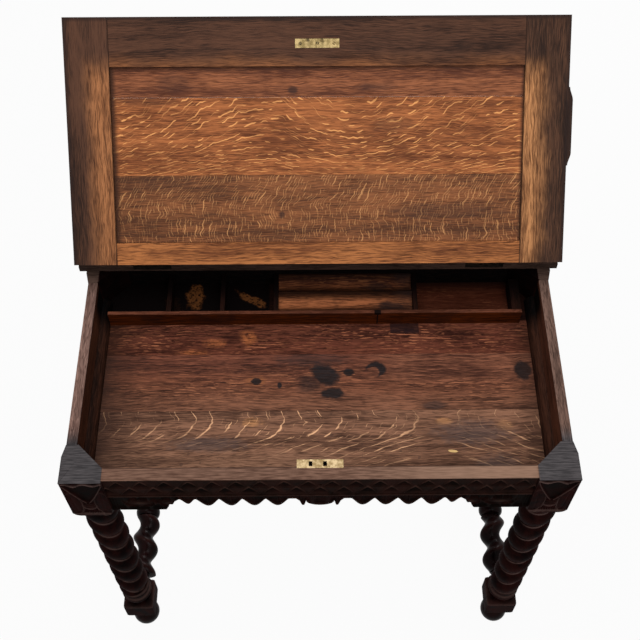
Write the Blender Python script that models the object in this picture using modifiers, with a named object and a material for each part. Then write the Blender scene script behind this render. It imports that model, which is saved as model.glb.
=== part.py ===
"""Oak writing table: a lift-up lid over a shallow well, twist-turned legs and a carved apron.

Table axes: X to the sitter's right, Y to the back from the front rail's face, Z up from the floor.
All sizes are in metres.
"""
import math

import bmesh
import bpy
from mathutils import Matrix, Vector

# Case
CASE_WIDTH = 0.824
CASE_DEPTH = 0.448
CASE_HEIGHT = 0.788
SIDE_THICKNESS = 0.017
SIDE_HEIGHT = 0.112
RAIL_THICKNESS = 0.022
BACK_THICKNESS = 0.017
WELL_DEPTH = 0.073
FLOOR_THICKNESS = 0.008
FLOOR_FRONT_WIDTH = 0.140
FLOOR_MIDDLE_WIDTH = 0.114
CLEAT_SIZE = 0.014
FILLET_WIDTH = 0.015
FILLET_HEIGHT = 0.020

# Corner posts and legs
POST_SIZE = 0.068
POST_HEIGHT = 0.134
POST_PROUD = 0.004
POST_SIDE_PROUD = 0.006
POST_CHAMFER = 0.003
LEG_RADIUS = 0.031
LEG_GROOVE = 0.006
LEG_TURNS = 7.25
LEG_ROWS_PER_TURN = 12
LEG_SIDES = 12
UPPER_RING_RADIUS = 0.0300
UPPER_RING_HEIGHT = 0.023
LOWER_RING_RADIUS = 0.0305
LOWER_RING_HEIGHT = 0.027
RING_ROOT = 0.0240
LEG_NECK_RADIUS = 0.022
LEG_NECK_HEIGHT = 0.021
LOWER_BLOCK_SIZE = 0.062
LOWER_BLOCK_HEIGHT = 0.055

# Feet
FOOT_HEIGHT = 0.088
BALL_RADIUS = 0.028
BALL_FLAT = 0.012
FOOT_NECK_RADIUS = 0.017
FOOT_COLLAR_RADIUS = 0.0225
FOOT_COLLAR_HEIGHT = 0.008
FOOT_TOP_HEIGHT = 0.012

# Side stretchers
STRETCHER_HEIGHT = 0.1155
STRETCHER_STRAND = 0.0215
STRETCHER_OFFSET = 0.0065
STRETCHER_TURNS = 2.25
STRETCHER_ROWS_PER_TURN = 10
STRETCHER_SIDES = 10
STRETCHER_NECK = 0.0125
STRETCHER_END_RADIUS = 0.019
STRETCHER_END_LENGTH = 0.009
STRETCHER_NECK_LENGTH = 0.010
STRETCHER_RING_RADIUS = 0.026
STRETCHER_RING_LENGTH = 0.024
STRETCHER_RING_ROOT = 0.020
STRETCHER_GROOVE = 0.003

# Carved apron, heights measured down from the rail's top
APRON_NOTCH = 0.077
APRON_TIP = 0.104
APRON_EAR = 0.119
LUNETTE_HALF = 0.0235
LUNETTE_SPRING = 0.086
PENDANT_X = 0.0284
PENDANT_HALF = 0.0058
NOTCH_START = 0.040
SCALLOP_START = 0.0517
SCALLOP_PITCH = 0.0386
SCALLOP_COUNT = 4
SCALLOP_STEPS = 8
SCALLOP_ROUND = 1.25
SMALL_SCALLOP_WIDTH = 0.028
SMALL_SCALLOP_DROP = 0.019
EAR_RISE = 0.025
EAR_STEPS = ((0.26, 0.18), (0.52, 0.60), (0.69, 0.54), (1.0, 1.0))

# Tray along the back of the well
TRAY_DEPTH = 0.091
STRIP_THICKNESS = 0.0065
STRIP_HEIGHT = 0.036
STRIP_SEAM_SHARE = 0.646
DIVIDER_THICKNESS = 0.008
DIVIDER_HEIGHT = 0.034
FIRST_DIVIDER_INSET = 0.124
INK_PITCH = 0.0968
INK_DIVIDERS = 3
PEN_TRAY_LENGTH = 0.244
PEN_TRAY_HEIGHT = 0.031
PEN_GROOVE_DEPTH = 0.013
PEN_GROOVE_LAND = 0.003
END_BLOCK_THICKNESS = 0.017
END_BLOCK_INSET = 0.029

# Lid and fixed top board
LID_THICKNESS = 0.024
LID_OPEN_ANGLE = math.radians(136)
FRONT_OVERHANG = 0.0125
BACK_OVERHANG = 0.014
SIDE_OVERHANG = 0.012
FIXED_BOARD_WIDTH = 0.0525
STILE_WIDTH = 0.076
LOCK_RAIL_WIDTH = 0.082
HINGE_RAIL_WIDTH = 0.038
PANEL_THICKNESS = 0.017
PANEL_RECESS = 0.006
PANEL_TOP_WIDTH = 0.051
PANEL_MIDDLE_WIDTH = 0.132
EDGE_RADIUS = 0.012
EDGE_SEGMENTS = 4
EDGE_STRIP_THICKNESS = 0.007
EDGE_STRIP_HEIGHT = 0.0105
EDGE_STRIP_START = 0.169
EDGE_STRIP_LENGTH = 0.133
EDGE_STRIP_TAPER = 0.022
EDGE_STRIP_TIP = 0.0015

# Hinges
HINGE_INSET = 0.022
HINGE_LENGTH = 0.068
HINGE_GAP = 0.001
LEAF_THICKNESS = 0.0016
LEAF_DEPTH = 0.015
KNUCKLE_RADIUS = 0.0042
PIN_RADIUS = 0.0019
PIN_CLEARANCE = 0.0001
KNUCKLE_SHARE = 0.34
ROUND_SEGMENTS = 16

# Lock and keeper
LOCK_PLATE_LENGTH = 0.075
LOCK_PLATE_WIDTH = 0.015
LOCK_PLATE_THICKNESS = 0.002
LOCK_Y = 0.0275
LOCK_HOLES_X = (-0.0154, 0.0079)
LOCK_HOLE_LENGTH = 0.0062
LOCK_HOLE_WIDTH = 0.0084
LOCK_CASE_LENGTH = 0.062
LOCK_CASE_HEIGHT = 0.044
LOCK_CASE_WALL = 0.0015
HOOK_LENGTH = 0.0044
HOOK_WIDTH = 0.0044
HOOK_DROP = 0.0090
HOOK_GAUGE = 0.0016
KEEPER_SHIFT = 0.0045
BOLT_TRAVEL = 0.0055
BOLT_BAR = 0.004
BOLT_GAUGE = 0.0022
BOLT_PRONG = 0.0024
BOLT_CLEARANCE = 0.0008
KEYHOLE_DROP = 0.022
KEYHOLE_RADIUS = 0.0027
KEYHOLE_SLOT = 0.0030
KEYHOLE_LENGTH = 0.011

# Clearances
JOINT_GAP = 0.0003
LID_SEAT = 0.0006

# Colours
OAK_CARVED = (0.020, 0.011, 0.009)
OAK_CASE = (0.085, 0.048, 0.030)
OAK_FLOOR = (0.110, 0.056, 0.028)
OAK_TRAY = (0.075, 0.030, 0.012)
OAK_FRAME = (0.095, 0.045, 0.022)
OAK_PANEL = (0.190, 0.085, 0.032)
BRASS = (0.560, 0.380, 0.120)
IRON = (0.030, 0.027, 0.025)

# Places that follow from the sizes above
SIDE_OUTER_X = CASE_WIDTH / 2
SIDE_INNER_X = SIDE_OUTER_X - SIDE_THICKNESS
POST_OUTER_X = SIDE_OUTER_X + POST_SIDE_PROUD
POST_INNER_X = POST_OUTER_X - POST_SIZE
LEG_X = POST_OUTER_X - POST_SIZE / 2
LEG_FRONT_Y = POST_SIZE / 2 - POST_PROUD
LEG_REAR_Y = CASE_DEPTH + POST_PROUD - POST_SIZE / 2
BACK_INNER_Y = CASE_DEPTH - BACK_THICKNESS
FRONT_CUT = POST_INNER_X - RAIL_THICKNESS
REAR_CUT = POST_INNER_X + BACK_INNER_Y
FLOOR_TOP = CASE_HEIGHT - WELL_DEPTH
FLOOR_BASE = FLOOR_TOP - FLOOR_THICKNESS
LOWER_BLOCK_TOP = FOOT_HEIGHT + LOWER_BLOCK_HEIGHT
LOWER_RING_Z = LOWER_BLOCK_TOP + LEG_NECK_HEIGHT + LOWER_RING_HEIGHT / 2
UPPER_RING_Z = LOWER_RING_Z + LOWER_RING_HEIGHT / 2 + UPPER_RING_HEIGHT / 2 + JOINT_GAP
TWIST_BASE = UPPER_RING_Z + UPPER_RING_HEIGHT / 2
POST_BASE = CASE_HEIGHT - POST_HEIGHT
STRIP_FRONT_Y = BACK_INNER_Y - TRAY_DEPTH
STRIP_BACK_Y = STRIP_FRONT_Y + STRIP_THICKNESS
DIVIDERS_X = [INK_PITCH * number + FIRST_DIVIDER_INSET - SIDE_INNER_X for number in range(INK_DIVIDERS)]
PEN_TRAY_LEFT_X = DIVIDERS_X[-1] + DIVIDER_THICKNESS / 2 + JOINT_GAP
TRAY_END_X = SIDE_INNER_X - END_BLOCK_INSET
END_BLOCK_X = TRAY_END_X - END_BLOCK_THICKNESS
LID_WIDTH = 2 * (POST_OUTER_X + SIDE_OVERHANG)
LID_FRONT_Y = -FRONT_OVERHANG
BOARD_BACK_Y = CASE_DEPTH + BACK_OVERHANG
BOARD_FRONT_Y = BOARD_BACK_Y - FIXED_BOARD_WIDTH
HINGE_Y = BOARD_FRONT_Y - HINGE_GAP / 2
LID_BACK_Y = HINGE_Y - HINGE_GAP / 2
HINGE_X = LID_WIDTH / 2 - STILE_WIDTH - HINGE_INSET - HINGE_LENGTH / 2
LID_BASE = CASE_HEIGHT + LID_SEAT
LID_TOP = LID_BASE + LID_THICKNESS
BOARD_BASE = CASE_HEIGHT + JOINT_GAP
LOCK_PLATE_TOP = CASE_HEIGHT - JOINT_GAP
LOCK_PLATE_BASE = LOCK_PLATE_TOP - LOCK_PLATE_THICKNESS
HOOK_BASE = LID_BASE - JOINT_GAP - HOOK_DROP

# The frame's origin lies on the floor at the middle of the open table
OPEN_REACH = HINGE_Y - LID_FRONT_Y - EDGE_RADIUS
OPEN_BACK_Y = HINGE_Y - OPEN_REACH * math.cos(LID_OPEN_ANGLE)
OPEN_BACK_Y += EDGE_RADIUS - EDGE_RADIUS * math.sin(LID_OPEN_ANGLE)
MIDDLE_Y = (OPEN_BACK_Y - POST_PROUD) / 2
MIDDLE_X = (EDGE_STRIP_THICKNESS + JOINT_GAP) / 2


def clear_scene():
    """Remove what the new file holds."""
    for obj in list(bpy.data.objects):
        bpy.data.objects.remove(obj)


def add_collection(name):
    """A collection in the scene."""
    group = bpy.data.collections.new(name)
    bpy.context.scene.collection.children.link(group)
    return group


def add_empty(name, place, parent=None):
    """A frame that pieces hang from."""
    empty = bpy.data.objects.new(name, None)
    PARTS.objects.link(empty)
    empty.location = place
    empty.parent = parent
    return empty


def finish(obj, colour, roughness=0.5, metallic=0.0):
    """Give a piece its own material."""
    material = bpy.data.materials.new(obj.name)
    material.use_nodes = True
    shader = material.node_tree.nodes["Principled BSDF"]
    shader.inputs["Base Color"].default_value = (*colour, 1.0)
    shader.inputs["Roughness"].default_value = roughness
    shader.inputs["Metallic"].default_value = metallic
    obj.data.materials.append(material)
    return obj


def add_object(name, mesh, place, frame, turn=(0.0, 0.0, 0.0), cutter=False):
    """Place a mesh, given in table axes, under its frame."""
    obj = bpy.data.objects.new(name, mesh)
    (CUTTERS if cutter else PARTS).objects.link(obj)
    empty, pivot = frame
    obj.parent = empty
    obj.location = Vector(place) - Vector(pivot)
    obj.rotation_euler = turn
    if cutter:
        obj.hide_render = True
        obj.display_type = "WIRE"
    return obj


def to_mesh(name, bm):
    """Store a bmesh as a mesh."""
    mesh = bpy.data.meshes.new(name)
    bm.to_mesh(mesh)
    bm.free()
    return mesh


def smooth(mesh):
    """Shade a round piece smooth, keeping its arrises sharp."""
    mesh.shade_smooth()
    mesh.set_sharp_from_angle(angle=math.radians(40))
    return mesh


def board(name, x, y, z, frame, rounded=(), cutter=False):
    """A box from three spans, with the named long edges of its top rounded over."""
    size = [span[1] - span[0] for span in (x, y, z)]
    middle = [(span[0] + span[1]) / 2 for span in (x, y, z)]
    bm = bmesh.new()
    bmesh.ops.create_cube(bm, size=1.0, matrix=Matrix.Diagonal((*size, 1.0)))
    chosen = []
    for edge in bm.edges:
        centre = (edge.verts[0].co + edge.verts[1].co) / 2
        on_top = centre.z > size[2] * 0.49
        sides = {
            "left": centre.x < -size[0] * 0.49,
            "right": centre.x > size[0] * 0.49,
            "front": centre.y < -size[1] * 0.49,
            "back": centre.y > size[1] * 0.49,
        }
        if on_top and any(sides[side] for side in rounded):
            chosen.append(edge)
    if chosen:
        bmesh.ops.bevel(
            bm, geom=chosen, offset=EDGE_RADIUS, segments=EDGE_SEGMENTS, profile=0.5, affect="EDGES"
        )
    return add_object(name, to_mesh(name, bm), middle, frame, cutter=cutter)


def rod(name, x, y, z, radius, frame, cutter=False, axis="X"):
    """A round bar along X or Y; its span gives its length."""
    span = x if axis == "X" else y
    bm = bmesh.new()
    depth = span[1] - span[0]
    bmesh.ops.create_cone(
        bm, cap_ends=True, segments=ROUND_SEGMENTS, radius1=radius, radius2=radius, depth=depth
    )
    middle = (span[0] + span[1]) / 2
    place = (middle, y, z) if axis == "X" else (x, middle, z)
    turn = (0.0, math.pi / 2, 0.0) if axis == "X" else (math.pi / 2, 0.0, 0.0)
    return add_object(name, smooth(to_mesh(name, bm)), place, frame, turn, cutter)


def is_cap(face):
    """Whether a face lies flat on one side of an outline."""
    heights = [vert.co.z for vert in face.verts]
    return max(heights) - min(heights) < 1e-7


def outline(name, points, thickness, place, frame, turn=(0.0, 0.0, 0.0)):
    """A flat outline with thickness, made a mesh so that it can be cut."""
    curve = bpy.data.curves.new(name, "CURVE")
    curve.dimensions = "2D"
    curve.fill_mode = "BOTH"
    curve.extrude = thickness / 2
    spline = curve.splines.new("POLY")
    spline.points.add(len(points) - 1)
    for point, (u, v) in zip(spline.points, points):
        point.co = (u, v, 0.0, 1.0)
    spline.use_cyclic_u = True
    drawn = bpy.data.objects.new(name + "_outline", curve)
    bpy.context.scene.collection.objects.link(drawn)
    depsgraph = bpy.context.evaluated_depsgraph_get()
    mesh = bpy.data.meshes.new_from_object(drawn.evaluated_get(depsgraph))
    bm = bmesh.new()
    bm.from_mesh(mesh)
    bmesh.ops.remove_doubles(bm, verts=bm.verts, dist=1e-6)
    inner = [edge for edge in bm.edges if all(is_cap(face) for face in edge.link_faces)]
    bmesh.ops.dissolve_edges(bm, edges=inner)
    bm.to_mesh(mesh)
    bm.free()
    bpy.data.objects.remove(drawn)
    return add_object(name, mesh, place, frame, turn)


def boolean(obj, other, operation="DIFFERENCE"):
    """Cut a piece with another, or join that one to it."""
    modifier = obj.modifiers.new(other.name, "BOOLEAN")
    modifier.operation = operation
    modifier.solver = "EXACT"
    modifier.object = other


def square(half):
    """Radius of a square section in any direction."""
    return lambda angle, turn: half / max(abs(math.cos(angle)), abs(math.sin(angle)))


def circle(radius):
    """Radius of a round section."""
    return lambda angle, turn: radius


def rope(angle, turn):
    """Radius of the leg's rope section: one full strand with a narrow groove."""
    swell = math.sqrt(abs(math.sin((angle - turn) / 2)))
    return LEG_RADIUS - LEG_GROOVE * (1 - swell)


def strand(angle, turn):
    """Radius of the stretcher's section: a round strand set off its axis."""
    across = STRETCHER_OFFSET * math.sin(angle - turn)
    return STRETCHER_OFFSET * math.cos(angle - turn) + math.sqrt(STRETCHER_STRAND**2 - across**2)


def bead(middle, height, root, radius, steps=6):
    """Stations of a half-round ring."""
    stations = []
    for step in range(steps + 1):
        angle = math.pi * (step / steps - 0.5)
        swell = root + (radius - root) * math.cos(angle)
        stations.append((middle + height / 2 * math.sin(angle), circle(swell), 0.0))
    return stations


def block(base, top, half):
    """Stations of a square block with chamfered ends."""
    small = half - POST_CHAMFER
    return [
        (base, square(small), 0.0),
        (base + POST_CHAMFER, square(half), 0.0),
        (top - POST_CHAMFER, square(half), 0.0),
        (top, square(small), 0.0),
    ]


def twist(base, top, section, turns, rows_per_turn, hand):
    """Stations of a twisted length."""
    rows = math.ceil(turns * rows_per_turn)
    stations = []
    for row in range(rows + 1):
        share = row / rows
        stations.append((base + (top - base) * share, section, hand * math.tau * turns * share))
    return stations


def station_body(name, stations, sides):
    """A closed turned body: one ring of points for each station (height, section, turn)."""
    bm = bmesh.new()
    rows = len(stations) - 1
    bmesh.ops.create_cone(bm, cap_ends=True, segments=sides, radius1=1.0, radius2=1.0, depth=rows)
    upright = [edge for edge in bm.edges if abs(edge.verts[0].co.z - edge.verts[1].co.z) > 0.5]
    bmesh.ops.subdivide_edges(bm, edges=upright, cuts=rows - 1, use_grid_fill=True)
    for vert in bm.verts:
        height, section, turn = stations[round(vert.co.z + rows / 2)]
        angle = math.atan2(vert.co.y, vert.co.x) + math.pi / 4 + turn
        radius = section(angle, turn)
        vert.co = (radius * math.cos(angle), radius * math.sin(angle), height)
    quads = [face for face in bm.faces if len(face.verts) == 4]
    bmesh.ops.triangulate(bm, faces=quads, quad_method="SHORT_EDGE")
    return smooth(to_mesh(name, bm))


def turned(name, profile, place, frame):
    """A turned piece: a profile of (radius, height) from top to bottom, spun about its axis."""
    bm = bmesh.new()
    line = [bm.verts.new((radius, 0.0, height)) for radius, height in profile]
    for upper, lower in zip(line, line[1:]):
        bm.edges.new((upper, lower))
    obj = add_object(name, to_mesh(name, bm), place, frame)
    screw = obj.modifiers.new("Screw", "SCREW")
    screw.steps = ROUND_SEGMENTS
    screw.render_steps = ROUND_SEGMENTS
    screw.use_merge_vertices = True
    screw.merge_threshold = 0.00001
    screw.use_smooth_shade = True
    return obj


def add_leg(name, x, y, hand, cut):
    """Corner post: carved block, rope twist, two rings and the lower block in one length."""
    base = FOOT_HEIGHT + JOINT_GAP
    whole = math.tau * LEG_TURNS * hand
    stations = block(base, LOWER_BLOCK_TOP, LOWER_BLOCK_SIZE / 2)
    stations += [(LOWER_BLOCK_TOP, circle(LEG_NECK_RADIUS), 0.0)]
    stations += bead(LOWER_RING_Z, LOWER_RING_HEIGHT, LEG_NECK_RADIUS, LOWER_RING_RADIUS)
    stations += bead(UPPER_RING_Z, UPPER_RING_HEIGHT, RING_ROOT, UPPER_RING_RADIUS)
    stations += twist(TWIST_BASE, POST_BASE, rope, LEG_TURNS, LEG_ROWS_PER_TURN, hand)
    stations += [
        (height, section, whole) for height, section, turn in block(POST_BASE, CASE_HEIGHT, POST_SIZE / 2)
    ]
    leg = add_object(name, station_body(name, stations, LEG_SIDES), (x, y, 0.0), TABLE)
    boolean(leg, cut)
    return finish(leg, OAK_CARVED, 0.35)


def add_post_cut(name, x, y):
    """Cutter that takes the corner off a post where it faces the well."""
    reach = POST_SIZE
    bm = bmesh.new()
    bmesh.ops.create_cube(bm, size=1.0, matrix=Matrix.Diagonal((2 * reach, reach, 2 * POST_HEIGHT, 1.0)))
    toward = Vector((-x, CASE_DEPTH / 2 - y, 0.0))
    spin = math.atan2(math.copysign(1.0, toward.y), math.copysign(1.0, toward.x)) - math.pi / 2
    corner_y = RAIL_THICKNESS if toward.y > 0 else BACK_INNER_Y
    edge = Vector((math.copysign(POST_INNER_X, x), corner_y, CASE_HEIGHT))
    inward = Vector((math.copysign(1.0, toward.x), math.copysign(1.0, toward.y), 0.0)).normalized()
    return add_object(name, to_mesh(name, bm), edge + inward * reach / 2, TABLE, (0.0, 0.0, spin), True)


def add_foot(name, x, y):
    """Turned ball foot with a flat base."""
    top = FOOT_HEIGHT
    collar_top = top - FOOT_TOP_HEIGHT
    collar_base = collar_top - FOOT_COLLAR_HEIGHT
    ball_z = math.sqrt(BALL_RADIUS**2 - BALL_FLAT**2)
    first = math.asin(FOOT_NECK_RADIUS / BALL_RADIUS)
    last = math.pi - math.asin(BALL_FLAT / BALL_RADIUS)
    profile = [
        (0.0, top),
        (FOOT_NECK_RADIUS, top),
        (FOOT_NECK_RADIUS, collar_top),
        (FOOT_COLLAR_RADIUS, collar_top),
        (FOOT_COLLAR_RADIUS, collar_base),
        (FOOT_NECK_RADIUS, collar_base),
    ]
    steps = 8
    for step in range(steps + 1):
        angle = first + (last - first) * step / steps
        profile.append((BALL_RADIUS * math.sin(angle), ball_z + BALL_RADIUS * math.cos(angle)))
    profile.append((0.0, 0.0))
    return finish(turned(name, profile, (x, y, 0.0), TABLE), OAK_CARVED, 0.35)


def add_stretcher(name, x, hand):
    """Twist-turned side stretcher between the lower blocks, with a ring at mid-length."""
    start = LEG_FRONT_Y + LOWER_BLOCK_SIZE / 2 + JOINT_GAP
    length = LEG_REAR_Y - LOWER_BLOCK_SIZE / 2 - JOINT_GAP - start
    neck_end = STRETCHER_END_LENGTH + STRETCHER_NECK_LENGTH
    ring_start = length / 2 - STRETCHER_RING_LENGTH / 2
    twist_end = ring_start - STRETCHER_GROOVE
    half = [
        (0.0, circle(STRETCHER_END_RADIUS), 0.0),
        (STRETCHER_END_LENGTH, circle(STRETCHER_END_RADIUS), 0.0),
        (STRETCHER_END_LENGTH, circle(STRETCHER_NECK), 0.0),
        (neck_end, circle(STRETCHER_NECK), 0.0),
    ]
    half += twist(neck_end, twist_end, strand, STRETCHER_TURNS, STRETCHER_ROWS_PER_TURN, hand)
    whole = hand * math.tau * STRETCHER_TURNS
    half += [(twist_end, circle(STRETCHER_NECK), whole), (ring_start, circle(STRETCHER_NECK), whole)]
    ring = bead(length / 2, STRETCHER_RING_LENGTH, STRETCHER_RING_ROOT, STRETCHER_RING_RADIUS)
    ring = [(height, section, whole) for height, section, turn in ring]
    mirrored = [(length - height, section, 2 * whole - turn) for height, section, turn in reversed(half)]
    mesh = station_body(name, half + ring + mirrored, STRETCHER_SIDES)
    lay = (-math.pi / 2, 0.0, 0.0)
    return finish(add_object(name, mesh, (x, start, STRETCHER_HEIGHT), TABLE, lay), OAK_CARVED, 0.35)


def apron_edge():
    """The right half of the apron's lower edge, from the middle outwards, as (x, drop)."""
    points = []
    steps = 6
    for step in range(steps + 1):
        share = step / steps
        drop = LUNETTE_SPRING + (APRON_TIP - LUNETTE_SPRING) * math.sqrt(1 - share**2)
        points.append((LUNETTE_HALF * share, drop))
    points += [
        (PENDANT_X - PENDANT_HALF / 3, APRON_TIP),
        (PENDANT_X + PENDANT_HALF / 3, APRON_TIP),
        (PENDANT_X + PENDANT_HALF, LUNETTE_SPRING),
        (NOTCH_START, APRON_NOTCH),
    ]
    for scallop in range(SCALLOP_COUNT):
        start = SCALLOP_START + SCALLOP_PITCH * scallop
        for step in range(SCALLOP_STEPS):
            share = step / SCALLOP_STEPS
            swell = math.sin(math.pi * share) ** SCALLOP_ROUND
            points.append((start + SCALLOP_PITCH * share, APRON_NOTCH + (APRON_TIP - APRON_NOTCH) * swell))
    start = SCALLOP_START + SCALLOP_PITCH * SCALLOP_COUNT
    steps = SCALLOP_STEPS
    for step in range(steps + 1):
        share = step / steps
        swell = (1 - math.cos(math.tau * share)) / 2
        points.append((start + SMALL_SCALLOP_WIDTH * share, APRON_NOTCH + SMALL_SCALLOP_DROP * swell))
    start += SMALL_SCALLOP_WIDTH
    for share, rise in EAR_STEPS:
        points.append((start + EAR_RISE * share, APRON_NOTCH + (APRON_EAR - APRON_NOTCH) * rise))
    points.append((POST_INNER_X - JOINT_GAP, APRON_EAR))
    return points


def add_front_rail():
    """Front rail with its scalloped apron, pocketed for the lock plate and bored for the key."""
    right = [(x, -drop) for x, drop in apron_edge()]
    left = [(-x, z) for x, z in reversed(right[1:])]
    end = POST_INNER_X - JOINT_GAP
    points = left + right + [(end, 0.0), (-end, 0.0)]
    place = (0.0, RAIL_THICKNESS / 2, CASE_HEIGHT)
    rail = outline("front_rail", points, RAIL_THICKNESS, place, TABLE, (math.pi / 2, 0.0, 0.0))
    half = LOCK_PLATE_LENGTH / 2 + JOINT_GAP
    pocket = board(
        "lock_plate_pocket",
        (-half, half),
        (LOCK_Y - LOCK_PLATE_WIDTH / 2 - JOINT_GAP, RAIL_THICKNESS + LOCK_PLATE_WIDTH),
        (LOCK_PLATE_BASE - JOINT_GAP, CASE_HEIGHT + LOCK_PLATE_THICKNESS),
        TABLE,
        cutter=True,
    )
    through = (-RAIL_THICKNESS, 2 * RAIL_THICKNESS)
    key_z = CASE_HEIGHT - KEYHOLE_DROP
    hole = rod("key_bore", 0.0, through, key_z, KEYHOLE_RADIUS, TABLE, True, "Y")
    slot = board(
        "key_slot",
        (-KEYHOLE_SLOT / 2, KEYHOLE_SLOT / 2),
        through,
        (key_z - KEYHOLE_LENGTH, key_z),
        TABLE,
        cutter=True,
    )
    for cutter in (pocket, hole, slot):
        boolean(rail, cutter)
    finish(rail, OAK_CARVED, 0.4)


def add_case():
    """Sides, back, floor boards with their cleats, and the fillets along the side walls."""
    side_y = (LEG_FRONT_Y + POST_SIZE / 2 + JOINT_GAP, LEG_REAR_Y - POST_SIZE / 2 - JOINT_GAP)
    side_z = (CASE_HEIGHT - SIDE_HEIGHT, CASE_HEIGHT)
    finish(board("side_board_left", (-SIDE_OUTER_X, -SIDE_INNER_X), side_y, side_z, TABLE), OAK_CASE)
    finish(board("side_board_right", (SIDE_INNER_X, SIDE_OUTER_X), side_y, side_z, TABLE), OAK_CASE)
    back_half = POST_INNER_X - JOINT_GAP
    back = board("back_board", (-back_half, back_half), (BACK_INNER_Y, CASE_DEPTH), side_z, TABLE)
    finish(back, OAK_CASE)

    wall_x = SIDE_INNER_X - JOINT_GAP
    front_y = RAIL_THICKNESS + JOINT_GAP
    first_joint = front_y + FLOOR_FRONT_WIDTH
    second_joint = first_joint + FLOOR_MIDDLE_WIDTH
    back_y = BACK_INNER_Y - JOINT_GAP
    front_corner = FRONT_CUT - 2 * JOINT_GAP
    rear_corner = REAR_CUT - 2 * JOINT_GAP
    floor_plans = {
        "floor_board_front": [
            (front_y + front_corner, front_y),
            (wall_x, wall_x - front_corner),
            (wall_x, first_joint - JOINT_GAP),
        ],
        "floor_board_middle": [(wall_x, first_joint), (wall_x, second_joint - JOINT_GAP)],
        "floor_board_back": [
            (wall_x, second_joint),
            (wall_x, rear_corner - wall_x),
            (rear_corner - back_y, back_y),
        ],
    }
    for name, right in floor_plans.items():
        plan = right + [(-x, y) for x, y in reversed(right)]
        middle = (0.0, 0.0, FLOOR_TOP - FLOOR_THICKNESS / 2)
        finish(outline(name, plan, FLOOR_THICKNESS, middle, TABLE), OAK_FLOOR)

    cleat_z = (FLOOR_BASE - JOINT_GAP - CLEAT_SIZE, FLOOR_BASE - JOINT_GAP)
    cleat_y = (wall_x - front_corner, rear_corner - wall_x)
    wide = (-(FRONT_CUT - CLEAT_SIZE), FRONT_CUT - CLEAT_SIZE)
    finish(board("floor_cleat_front", wide, (front_y, front_y + CLEAT_SIZE), cleat_z, TABLE), OAK_CASE)
    finish(board("floor_cleat_back", wide, (back_y - CLEAT_SIZE, back_y), cleat_z, TABLE), OAK_CASE)
    for side, sign in (("left", -1), ("right", 1)):
        span = sorted((sign * (wall_x - CLEAT_SIZE), sign * wall_x))
        finish(board("floor_cleat_" + side, span, cleat_y, cleat_z, TABLE), OAK_CASE)
        section = [(0.0, 0.0)]
        steps = 5
        for step in range(steps + 1):
            angle = math.pi / 2 * step / steps
            section.append((-sign * FILLET_WIDTH * math.cos(angle), FILLET_HEIGHT * math.sin(angle)))
        place = (sign * wall_x, sum(cleat_y) / 2, FLOOR_TOP + JOINT_GAP)
        run = cleat_y[1] - cleat_y[0]
        fillet = outline("well_fillet_" + side, section, run, place, TABLE, (math.pi / 2, 0.0, 0.0))
        finish(fillet, OAK_FLOOR)


def add_tray():
    """Ink compartments and pen tray along the back of the well."""
    base = FLOOR_TOP + JOINT_GAP
    left_end = -(SIDE_INNER_X - FILLET_WIDTH - 2 * JOINT_GAP)
    strip_y = (STRIP_FRONT_Y, STRIP_BACK_Y)
    strip_z = (base, FLOOR_TOP + STRIP_HEIGHT)
    seam = left_end + (TRAY_END_X - left_end) * STRIP_SEAM_SHARE
    lengths = {
        "tray_strip_left": (left_end, seam),
        "tray_strip_right": (seam + JOINT_GAP, TRAY_END_X),
    }
    for name, span in lengths.items():
        finish(board(name, span, strip_y, strip_z, TABLE), OAK_TRAY)

    inner_y = (STRIP_BACK_Y + JOINT_GAP, BACK_INNER_Y - JOINT_GAP)
    divider_z = (base, FLOOR_TOP + DIVIDER_HEIGHT)
    pen_right = PEN_TRAY_LEFT_X + PEN_TRAY_LENGTH
    starts = [x - DIVIDER_THICKNESS / 2 for x in DIVIDERS_X]
    starts.append(pen_right + JOINT_GAP)
    for number, start in enumerate(starts, 1):
        span = (start, start + DIVIDER_THICKNESS)
        finish(board("tray_divider_%d" % number, span, inner_y, divider_z, TABLE), OAK_TRAY)

    pen_span = (PEN_TRAY_LEFT_X, pen_right)
    pen_top = FLOOR_TOP + PEN_TRAY_HEIGHT
    pen_tray = board("pen_tray", pen_span, inner_y, (base, pen_top), TABLE)
    width = (inner_y[1] - inner_y[0] - 3 * PEN_GROOVE_LAND) / 2
    radius = ((width / 2) ** 2 + PEN_GROOVE_DEPTH**2) / (2 * PEN_GROOVE_DEPTH)
    past_ends = (PEN_TRAY_LEFT_X - DIVIDER_THICKNESS, pen_right + DIVIDER_THICKNESS)
    for number in range(2):
        middle_y = inner_y[0] + PEN_GROOVE_LAND + width / 2 + number * (width + PEN_GROOVE_LAND)
        axis_z = pen_top - PEN_GROOVE_DEPTH + radius
        groove = rod("pen_groove_%d" % number, past_ends, middle_y, axis_z, radius, TABLE, True)
        boolean(pen_tray, groove)
    finish(pen_tray, OAK_TRAY)

    end_y = (inner_y[0], REAR_CUT - TRAY_END_X - 2 * JOINT_GAP)
    finish(board("tray_end_block", (END_BLOCK_X, TRAY_END_X), end_y, divider_z, TABLE), OAK_TRAY)


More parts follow.
